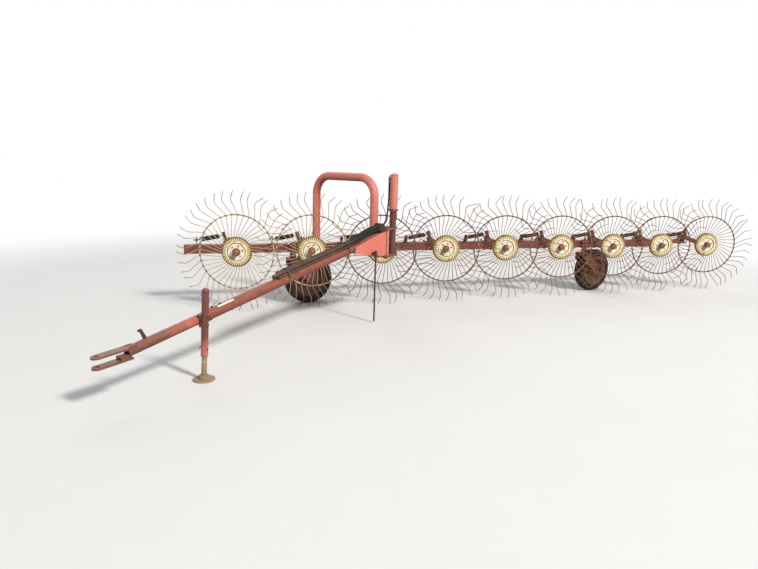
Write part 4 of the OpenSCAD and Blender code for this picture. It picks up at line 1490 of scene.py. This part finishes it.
@dataclass
class Tongue(SubAssembly):
    """The drawbar: gusset, telescoping tubes, clevis, block and hook."""

    rear_r: float = 0.0445
    front_r: float = 0.038
    rear_to: float = 2.560
    front_to: float = math.hypot(REACH, DROP) - 0.215
    strip_from: float = 2.285
    strip_long: float = 0.165

    def dressing(self) -> dict[Finish, str]:
        """The CAD nodes of each finish."""
        return {Coat.GUSSET: "gusset_plates", Coat.REAR: "tongue_rear", Coat.TONGUE: "tongue_front",
                Coat.CLEVIS: "hitch_clevis clevis_block", Coat.HOOK: "tow_hook"}

    def draw(self) -> None:
        """Builds seams, bolts, band and strip."""
        self.draw_tube_trim()
        self.draw_strip()
        self.draw_clevis_trim()

    def draw_tube_trim(self) -> None:
        """The rolled end of the outer tube, its set bolts and the weld seams."""
        pen = Pen(Coat.REAR)
        mouth = TONGUE @ shift(self.rear_to, 0, 0) @ turn("Y", 90)
        pen.lathe(mouth, [(self.rear_r, -0.034), (self.rear_r + 0.005, -0.032), (self.rear_r + 0.005, 0.0),
                          (self.rear_r + 0.003, 0.002), (self.front_r + 0.0006, 0.002)], 40)
        pen.coat = Coat.BOLT
        for back in (0.070, 0.150):
            pen.bolt(TONGUE @ shift(self.rear_to - back, 0, self.rear_r - 0.001), 0.014, washer=False)
        pen.coat = Coat.WELD
        fall = math.tan(math.radians(SLOPE))
        for side in (-1, 1):
            for y, ends in ((0.0425, mm(634, 18.5, 440, 30)), (0.0465, mm(648.5, -30, 640.5, 15))):
                edge = [LEVEL @ Vector((x, side * y, TONGUE_Z - x * fall + z)) for x, z in ends]
                pen.weld(edge, 0.0055, seed=11 + side)
            pen.weld([LEVEL @ Vector((0.0205, side * 0.0215, z)) for z in (0.714, 0.962)], 0.005, seed=15 + side)
            pen.weld([LEVEL @ Vector((0.1285, side * 0.0410, z)) for z in (0.716, 0.860)], 0.004, seed=18 + side)
        pen.coat = Coat.GUSSET
        for side in (-1, 1):
            seam = [LEVEL @ Vector((x, side * 0.0522, 0.900)) for x in (0.112, 0.150, 0.250, 0.350, 0.438)]
            pen.sweep(seam, [0.0024, 0.0030, 0.0030, 0.0028, 0.0014], 6)
        pen.build("tongue_trim", "tongue")

    def draw_strip(self) -> None:
        """The blank pale strip on the tube's upper side."""
        pen = Pen(Coat.STRIP)
        rings = []
        for i in range(12):
            x = self.strip_from + self.strip_long * i / 11
            ring = []
            for degrees, out in ((52, 0.0004), (52, 0.0012), (60, 0.0014), (70, 0.0014), (78, 0.0012), (78, 0.0004)):
                a = math.radians(degrees)
                r = self.rear_r + out + 0.0003 * noise.noise(Vector((i * 0.7, degrees * 0.1, 0)))
                ring.append(TONGUE @ Vector((x, r * math.cos(a), r * math.sin(a))))
            rings.append(ring)
        pen.rings(rings)
        pen.build("pale_strip", "tongue")

    def draw_clevis_trim(self) -> None:
        """Welds where bars, block and tube meet."""
        pen = Pen(Coat.WELD)
        lip = TONGUE @ shift(self.front_to - 0.170, 0, 0)
        for y in (-0.0075, 0.0075):
            pen.weld([lip @ Vector((x, y, self.front_r + 0.0002)) for x in (0.0, 0.028)], 0.0035, seed=24)
        for side in (-1, 1):
            pen.weld(spots(CLEVIS, -272, side * 30.03, 45.5, -216, side * 28.49, 45.5), 0.0045, seed=21)
        for side in (-1, 1):
            pen.weld(spots(CLEVIS, -214, side * 30.5, -29.5, -152, side * 30.5, -29.5), 0.004, seed=23)
        pen.build("clevis_welds", "tongue")


FERRULE = mm(9.2, 0, 11.2, 1, 11.2, 15.5, 9.2, 16.5)


@dataclass
class Hoses(SubAssembly):
    """Five hoses on the outer tube with couplers, straps, guide and tail, and the thin one up the mast."""

    hose_r: float = 0.014
    thin_r: float = 0.009
    near: float = 0.0585
    far: float = 0.0837
    guide: Triple = (0.109, 0.170, 0.968)
    guide_high: float = 0.088
    tail_z: float = 1.022
    mast_side: tuple[float, float] = (1.660, -0.332)
    plug_z: float = 1.545
    clips: tuple[float, float] = (1.345, 1.515)
    belts: tuple[float, float] = (0.750, 1.635)

    def places(self) -> list[tuple[float, float, float]]:
        """Where the five hoses lie.

        Returns:
            Each hose's sideways and upward place, and how far it reaches along the tongue.
        """
        table = ((self.near, -29.0, 1.690), (self.near, 0.0, 1.740), (self.near, 29.0, 1.710),
                 (self.far, -14.5, 1.670), (self.far, 14.5, 1.760))
        return [(r * math.sin(math.radians(a)), r * math.cos(math.radians(a)), end) for r, a, end in table]

    def route(self, side: float, up: float, end: float) -> list[Vector]:
        """One hose from its coupler to the guide.

        Args:
            side: Its sideways place.
            up: Its height over the tube's axis.
            end: Where it ends along the tongue.

        Returns:
            The points of its centreline.
        """
        slope = math.radians(SLOPE)
        points = [TONGUE @ Vector((s, side, up)) for s in (end, 1.5, 1.3, 1.1, 0.9, 0.76)]
        for x, lift in mm(640, 0, 560, 8, 480, 24, 400, 36, 320, 41, 250, 40, 186, 35):
            points.append(LEVEL @ Vector((x, side, TONGUE_Z - x * math.tan(slope) + (up + lift) / math.cos(slope))))
        return points + [points[-1] + LEVEL.to_3x3() @ Vector((-0.0155, 0.0, 0.0))]

    def coupler(self, pen: Pen, seat: Matrix) -> None:
        """Draws a crimped ferrule, a hexagon and a capped coupler at a hose's end.

        Args:
            pen: What it is drawn with.
            seat: The hose's end; z points out of it.
        """
        pen.coat = Coat.BOLT
        crimps = [(0.0146 if i % 2 else 0.0154, -0.034 + 0.0045 * i) for i in range(8)]
        pen.lathe(seat, [(0.0142, -0.037), *crimps, (0.0120, 0.0010), (0.0095, 0.0030), (0.0095, 0.0060)], 18)
        pen.plate(seat, polygon_outline(0.0150, 6), 0.005, 0.017, 0.001)
        pen.lathe(seat, mm(11.8, 17, 11.8, 24, 13.2, 25, 13.2, 40, 11.2, 42, 11.2, 52, 10, 54), 20)
        pen.coat = Coat.STRAP
        pen.lathe(seat, mm(13.6, 44, 14, 46, 14, 60, 12.4, 63.5, 0.6, 64), 20)

    def draw_bundle(self) -> None:
        """The hoses on the tongue, their couplers, and the tail that turns up at the hinge."""
        pen = Pen(Coat.HOSE)
        for side, up, end in self.places():
            pen.coat = Coat.HOSE
            pen.sweep(spline(self.route(side, up, end), 4), self.hose_r * 0.985, 14)
            self.coupler(pen, TONGUE @ shift(end, side, up) @ turn("Y", 90))
        pen.coat = Coat.HOSE
        tail = [LEVEL @ Vector((x, 0.0, z)) for x, z in mm(108.5, 1022, 99, 1022, 78, 1032, 55, 1048, 34, 1064,
                                                           16, 1079, 5, 1092, 0, 1105, 0, 1115)]
        pen.sweep(spline(tail, 3), self.thin_r, 12)
        pen.coat = Coat.BOLT
        pen.lathe(LEVEL @ shift(0, 0, 1.0985), FERRULE, 16)
        pen.build("tongue_hoses", "tongue", "hose_bundle")

    def draw_straps(self) -> None:
        """Two rubber straps with buckles round tube and hoses."""
        pen = Pen(Coat.STRAP)
        loops = [(up, side, self.hose_r + 0.0003) for side, up, _ in self.places()]
        outline = belt_outline([(0.0, 0.0, 0.0448)] + loops)
        for s in self.belts:
            axes = TONGUE @ shift(s, 0, 0) @ turn("Y", 90) @ turn("Z", 180)
            pen.coat = Coat.STRAP
            pen.strap(axes, outline, 0.024, 0.003)
            pen.coat = Coat.BOLT
            seat = TONGUE @ shift(s, 0.0458, 0.020) @ turn("X", -90)
            pen.plate(seat, rectangle(0.015, 0.011), 0.0, 0.0035)
            buckle = spots(seat, -12, -13, 2, -12, 13, 2, 12, 13, 2, 12, -13, 2)
            pen.sweep(rounded(buckle, 0.003, 3), 0.0018, 6)
        pen.build("hose_belts", "tongue", "hose_straps")

    def draw_guide(self) -> None:
        """Clamp plates, their bolts and the grommets on the guide block."""
        pen = Pen(Coat.GUIDE)
        back, front, low = self.guide
        middle = (back + front) / 2
        top = low + self.guide_high
        seat = LEVEL @ shift(middle, 0.0, top)
        pen.plate(seat, rectangle(0.0295, 0.0465), 0.0, 0.005)
        pen.plate(LEVEL @ shift(middle, 0.0, low + 0.002), rectangle(0.0315, 0.0490), 0.0, 0.006)
        for side in (-1, 1):
            seam = LEVEL @ shift(middle, side * 0.0484, low + 0.044)
            pen.plate(seam, rectangle(0.0305, 0.0006), -0.0012, 0.0012, 0.0003)
        pen.coat = Coat.BOLT
        for side in (-1, 1):
            for x in (-0.018, 0.018):
                pen.bolt(seat @ shift(x, side * 0.034, 0.005), 0.010)
        pen.coat = Coat.STRAP
        for side, up, end in self.places():
            mouth = self.route(side, up, end)[-1]
            axes = Matrix.Translation(mouth) @ LEVEL.to_3x3().to_4x4() @ turn("Y", 90)
            pen.lathe(axes, mm(14.2, 8.5, 15.8, 7.5, 17.6, 1, 17.6, -0.4), 20)
        tail = LEVEL @ shift(back, 0.0, self.tail_z) @ turn("Y", -90)
        pen.lathe(tail, mm(12.4, -0.4, 12.2, 3, 9.4, 8), 16)
        pen.build("guide_clamp", "tongue")

    def draw_mast_hose(self) -> None:
        """The thin hose from the hinge's axis up the mast, its clips and its pale plug."""
        pen = Pen(Coat.HOSE)
        x, y = self.mast_side
        route = spots(ROW, 1600, -460, 1116, 1600, -460, 1126, 1603, -453, 1141, 1612, -432, 1160, 1626, -404, 1180,
                      1638, -372, 1203, 1650, -346, 1232, 1658, -334, 1270)
        route += [ROW @ Vector((x, y, z)) for z in (1.330, 1.400, 1.470, self.plug_z)]
        pen.sweep(spline(route, 4), self.thin_r, 12)
        pen.coat = Coat.BOLT
        pen.lathe(over(HINGE, 1.1160), FERRULE, 16)
        loop = belt_outline([(MAST.x, MAST.y, 0.0462), (x, y, self.thin_r + 0.0002)])
        pen.coat = Coat.MAST
        for z in self.clips:
            pen.strap(ROW @ shift(0, 0, z), loop, 0.012, 0.0014)
        pen.coat = Coat.BOLT
        plug = ROW @ shift(x, y, self.plug_z)
        pen.lathe(plug, mm(9.2, -20, 10.8, -19, 10.8, 2, 8.8, 4, 8.8, 8), 16)
        pen.plate(plug, polygon_outline(0.0124, 6), 0.006, 0.014, 0.001)
        pen.coat = Coat.PLUG
        pen.lathe(plug, mm(11.8, 14, 13.4, 15.5, 13.6, 33, 11.8, 39, 0.6, 40), 20)
        pen.build("mast_hose_thin", "frame", "mast_hose")

    def dressing(self) -> dict[Finish, str]:
        """The CAD nodes of each finish."""
        return {Coat.GUIDE: "hose_guide"}

    def draw(self) -> None:
        """Builds hoses, straps, guide and the mast's hose."""
        self.draw_bundle()
        self.draw_straps()
        self.draw_guide()
        self.draw_mast_hose()


@dataclass
class PropRod(SubAssembly):
    """The rod in its sleeve under the gusset."""

    place: tuple[float, float] = (0.337, 0.095)
    weld_heights: tuple[float, float] = (0.7465, 0.7715)
    sleeve_z: float = 0.715
    head_z: float = 0.786
    foot_z: float = 0.0155

    def dressing(self) -> dict[Finish, str]:
        """The CAD nodes of each finish."""
        return {Coat.DARK: "prop_bracket prop_rod"}

    def draw(self) -> None:
        """Builds the weld of the sleeve, and the pin and worn foot of the rod."""
        pen = Pen(Coat.DARK)
        axes = LEVEL @ shift(*self.place, 0.0)
        for z in self.weld_heights:
            pen.weld([axes @ Vector((x, -0.0412, z)) for x in (-0.016, 0.016)], 0.0035, seed=51)
        pen.lathe(axes @ shift(0, 0, self.sleeve_z), mm(17.2, 0, 18.4, 1, 18.4, 7, 17.2, 8), 20)
        pen.build("prop_trim", "tongue")
        pen = Pen(Coat.BOLT)
        pen.bolt(axes @ shift(0, 0, self.head_z), 0.012, washer=False)
        pen.lathe(axes @ shift(0, 0, self.foot_z), mm(0.6, 0, 8.6, 0.5, 10.2, 3, 10, 10, 9, 14), 16)
        pen.build("prop_ends", "prop")


@dataclass
class ParkingJack(SubAssembly):
    """The post that carries the tongue: tube, leg, foot and bracket."""

    at: float = 2.628
    side: float = 0.038 + 0.0275 + 0.006
    lean: float = 4.0
    tube_r: float = 0.0275
    frame: Matrix = field(init=False)
    length: float = field(init=False)

    def __post_init__(self) -> None:
        """Works out its axes and its length to the ground."""
        self.frame = TONGUE @ shift(self.at, self.side, 0) @ turn("Y", -SLOPE) @ turn("X", -self.lean)
        self.length = (TONGUE_Z - self.at * math.sin(math.radians(SLOPE))) / math.cos(math.radians(self.lean))

    def dressing(self) -> dict[Finish, str]:
        """The CAD nodes of each finish."""
        return {Coat.JACK: "jack_tube", Coat.CRANK: "jack_bracket", Coat.EARTHY: "jack_foot jack_leg"}

    def draw(self) -> None:
        """Builds cap, pin, bands and foot trim."""
        pen = Pen(Coat.JACK)
        cap = self.frame @ shift(0, 0, 0.240)
        pen.lathe(cap, mm(27.5, -14, 29.2, -13, 29.2, -1, 27, 2), 32)
        base = self.frame @ shift(0, 0, 0.2 - self.length)
        pen.lathe(base, mm(27.5, 22, 29, 21, 29, 2, 27.5, 0), 32)
        pen.coat = Coat.BOLT
        pin = self.frame @ shift(0, 0, 0.260 - self.length) @ turn("X", 90)
        pen.lathe(pin @ shift(0, 0, -0.042), mm(0.6, 0, 6, 2, 6, 78, 9, 79, 9, 86, 0.6, 88), 12)
        ring = [pin @ Vector((0.016 * math.cos(a), 0.014 * math.sin(a) - 0.012, 0.042)) for a in angles(20)]
        pen.sweep(ring, 0.0018, 6, closed=True)
        for z in (-0.028, 0.028):
            pen.bolt(self.frame @ shift(0.0, self.tube_r, z) @ turn("X", -90), 0.012)
        pen.build("jack_trim", "tongue")
        pen = Pen(Coat.EARTHY)
        foot = self.frame @ shift(0, 0, -self.length) @ turn("X", self.lean)
        pen.weld(circle(foot, 0.0395, 32, 0.012), 0.0045, True, 31)
        pen.build("foot_weld", "jack")


@dataclass
class Castor(SubAssembly):
    """A trailing wheel: fork, rim and worn tyre."""

    name: str
    x: float
    y: float = 0.310
    yaw: float = 11.0
    trail: float = 0.200
    tyre_r: float = 0.300
    half: float = 0.075
    blocks: int = 44
    crown: float = 0.5558
    post: Matrix = field(init=False)
    axle: Matrix = field(init=False)

    def __post_init__(self) -> None:
        """Works out the post's and the axle's axes."""
        self.post = ROW @ shift(self.x, self.y, 0) @ turn("Z", self.yaw)
        self.axle = self.post @ shift(self.trail, 0, self.tyre_r) @ turn("X", 90)

    def draw_tyre(self) -> None:
        """Carcass with ribs, shoulder lugs and bead lines, in place of the plain tyre."""
        pen = Pen(Coat.TYRE)
        r, w = self.tyre_r, self.half
        half = [(a, w - b) for a, b in mm(197, 27, 203, 19, 212, 10.5, 216, 9, 219, 7.5, 232, 3.5, 247, 1.2, 250, 0.2,
                                          253, 1.2, 268, 3, 280, 9.5)]
        half += [(r - 0.010, w - 0.022), (r - 0.0075, w - 0.034)]
        for edge in (0.034, 0.020, 0.006):
            rib = [(r - a, edge - b) for a, b in mm(7.5, 0, 1.5, 1.2, 0.8, 5.5, 1.5, 9.2, 7.5, 10.5)]
            half += [(a, b) for a, b in rib if b > -0.001]
        pen.lathe(self.axle, half + [(a, -b) for a, b in reversed(half)], 96, closed=True)
        for i in range(self.blocks):
            for sign in (-1, 1):
                at = 360 / self.blocks * (i + (0.25 if sign > 0 else 0.75))
                seat = self.axle @ turn("Z", at)
                rings = []
                for z, deep, proud, wide in ((0.040, 0.012, 0.0012, 0.0125), (0.052, 0.018, 0.0035, 0.0118),
                                             (0.062, 0.030, 0.0125, 0.0105), (0.0695, 0.040, 0.028, 0.0085)):
                    low, high = r - deep, r - proud
                    rings.append([seat @ Vector((x, y, sign * z)) for x, y in
                                  ((low, -wide), (high, -wide * 0.86), (high, wide * 0.86), (low, wide))])
                pen.rings(rings, flat=True)
        pen.build(self.name + "_tyre_worn", self.name + "_wheel", self.name + "_tyre")

    def draw_wheel_trim(self) -> None:
        """Wheel nuts, hub caps and the valve."""
        pen = Pen(Coat.BOLT)
        for sign in (-1, 1):
            face = self.axle if sign > 0 else self.axle @ turn("X", 180)
            seat = 0.004 if sign > 0 else 0.008
            for i in range(5):
                pen.bolt(face @ turn("Z", 72 * i) @ shift(0.062, 0, seat), 0.014, 0.006)
            pen.coat = Coat.RIM
            cap = [(0.034, seat), (0.036, seat + 0.002), (0.0335, seat + 0.045), (0.0312, self.half - 0.006)]
            pen.lathe(face, cap, 32)
            pen.coat = Coat.BOLT
        valve = self.axle @ turn("Z", 36) @ shift(0.168, 0, self.half - 0.028)
        pen.lathe(valve, mm(5.5, -4, 4.5, 10, 3.5, 12, 3.5, 22, 1.5, 24), 10)
        pen.build(self.name + "_wheel_nuts", self.name + "_wheel")

    def draw_fork_trim(self) -> None:
        """Axle nuts, the welds of crown and legs, and the nut on the post."""
        pen = Pen(Coat.BOLT)
        leg = self.half + 0.020
        for sign in (-1, 1):
            end = self.post @ shift(self.trail, sign * (leg + 0.005), self.tyre_r) @ turn("X", -90 * sign)
            pen.bolt(end, 0.022)
        pen.coat = Coat.WELD
        for sign in (-1, 1):
            y = sign * (leg + 0.006)
            pen.weld([self.post @ Vector((x, y, self.crown - 0.018)) for x in (-0.050, 0.004)], 0.004, seed=41)
        pen.weld(circle(self.post, 0.0392, 32, self.crown + 0.0015), 0.0045, True, 42)
        pen.coat = Coat.BOLT
        pen.bolt(self.post @ shift(0, 0, self.crown + 0.189), 0.018, 0.0)
        pen.build(self.name + "_fork_trim", self.name + "_castor")

    def dressing(self) -> dict[Finish, str]:
        """The CAD nodes of each finish."""
        return {Coat.FORK: self.name + "_fork", Coat.RIM: self.name + "_rim"}

    def draw(self) -> None:
        """Builds tyre, nuts and fork trim."""
        self.draw_tyre()
        self.draw_wheel_trim()
        self.draw_fork_trim()


@dataclass
class Studio:
    """Camera at the photograph's place, pale floor, soft lamps and white background."""

    place: Triple = (0.5896, -3.9326, 1.3096)
    heading: float = -18.84
    pitch: float = -11.61
    roll: float = 1.86
    lens: float = 27.02
    away: float = 36.0
    middle: Triple = (3.2, 2.2, 0.3)
    ground: float = -0.355
    floor_half: float = 60.0
    fade_from: Triple = (3.4, 1.4, -0.355)
    fade_start: float = 5.8
    fade_end: float = 10.5
    sky: Colour = (0.96, 0.98, 1.0)
    sky_light: float = 0.29

    def camera(self) -> None:
        """Stands the camera where the photograph was taken."""
        data = bpy.data.cameras.new("camera")
        data.sensor_width = 36.0
        data.lens = self.lens
        camera = bpy.data.objects.new("camera", data)
        camera.matrix_world = (shift(*self.place) @ turn("Z", self.heading) @ turn("X", 90 + self.pitch)
                               @ turn("Z", self.roll))
        bpy.context.scene.collection.objects.link(camera)
        bpy.context.scene.camera = camera

    def floor(self) -> None:
        """A wide pale floor at the tyres' feet."""
        mesh = bpy.data.meshes.new("floor")
        corners = [(x, y, self.ground) for x, y in rectangle(self.floor_half, self.floor_half)]
        mesh.from_pydata(corners, [], [(0, 1, 2, 3)])
        mesh.materials.append(self.floor_material())
        floor = bpy.data.objects.new("floor", mesh)
        bpy.context.scene.collection.objects.link(floor)

    def floor_material(self) -> bpy.types.Material:
        """Pale floor that fades to the background's white with distance.

        Returns:
            The material.
        """
        material = bpy.data.materials.new("studio_floor")
        g = Graph(material)
        tone = g.mix((0.80, 0.797, 0.79), (0.84, 0.838, 0.832), g.noise(0.6, 3))
        shader = g.node("ShaderNodeBsdfPrincipled", {}, {"Base Color": tone, "Roughness": 0.9})
        far = g.vector("LENGTH", g.vector("SUBTRACT", g.place(), self.fade_from)).step(self.fade_start, self.fade_end)
        white = g.node("ShaderNodeEmission", {}, {"Color": WHITE, "Strength": 1.0})
        g.end(g.node("ShaderNodeMixShader", {}, {0: far, 1: shader, 2: white}))
        return material

    def world(self) -> None:
        """Even light, and plain white where the camera or a gloss sees the background."""
        world = bpy.data.worlds.new("studio")
        bpy.context.scene.world = world
        g = Graph(world)
        camera, gloss, through = (g.node("ShaderNodeLightPath", output="Is %s Ray" % kind)
                                  for kind in ("Camera", "Glossy", "Transmission"))
        seen = camera.maths("MAXIMUM", camera.maths("MAXIMUM", camera, gloss), through)
        light = g.node("ShaderNodeBackground", {}, {"Color": self.sky, "Strength": self.sky_light})
        white = g.node("ShaderNodeBackground", {}, {"Color": WHITE, "Strength": 1.0})
        g.end(g.node("ShaderNodeMixShader", {}, {0: seen, 1: light, 2: white}), "ShaderNodeOutputWorld")

    def lamp(self, name: str, way: Triple, size: float, light: float, tint: Colour) -> None:
        """Adds a soft square lamp, far enough away to light the whole row evenly.

        Args:
            name: The lamp's name.
            way: Its direction from the rake's middle.
            size: Side length in metres.
            light: What it gives a surface that faces it, in W/m2.
            tint: Its colour.
        """
        data = bpy.data.lights.new(name, "AREA")
        data.size = size
        data.energy = light * math.pi * self.away ** 2
        data.color = tint
        lamp = bpy.data.objects.new(name, data)
        lamp.location = Vector(self.middle) + Vector(way).normalized() * self.away
        lamp.rotation_mode = "QUATERNION"
        lamp.rotation_quaternion = Vector(way).to_track_quat("Z", "Y")
        bpy.context.scene.collection.objects.link(lamp)

    def make(self) -> None:
        """Sets camera, floor, world and lamps."""
        bpy.context.scene.view_settings.view_transform = "Standard"
        self.camera()
        self.floor()
        self.world()
        self.lamp("key", (0.353, -0.680, 0.642), 4.2, 2.95, (1.0, 0.97, 0.92))
        self.lamp("fill", (-0.773, -0.470, 0.432), 20.0, 0.30, (0.95, 0.97, 1.0))
        self.lamp("back", (-0.116, 0.754, 0.647), 20.0, 0.60, (0.98, 0.99, 1.0))


def main() -> None:
    """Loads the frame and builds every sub-assembly."""
    logging.basicConfig(level=logging.INFO, format="%(name)s %(message)s")
    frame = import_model()
    Studio().make()
    dents = (Dented.SOME, Dented.LITTLE, Dented.SOME, Dented.SOME, Dented.LITTLE, Dented.MUCH, Dented.SOME,
             Dented.SOME, Dented.MUCH)
    wheels = [RakeWheel(number, wear) for number, wear in enumerate(dents)]
    for part in (*wheels, Toolbar(), FloatGear(), HoopAndMast(), Hinge(), Tongue(), ParkingJack(),
                 Castor("front", 0.685), Castor("rear", 4.900), Hoses(), PropRod()):
        part.make(frame)


if __name__ == "__main__":
    main()
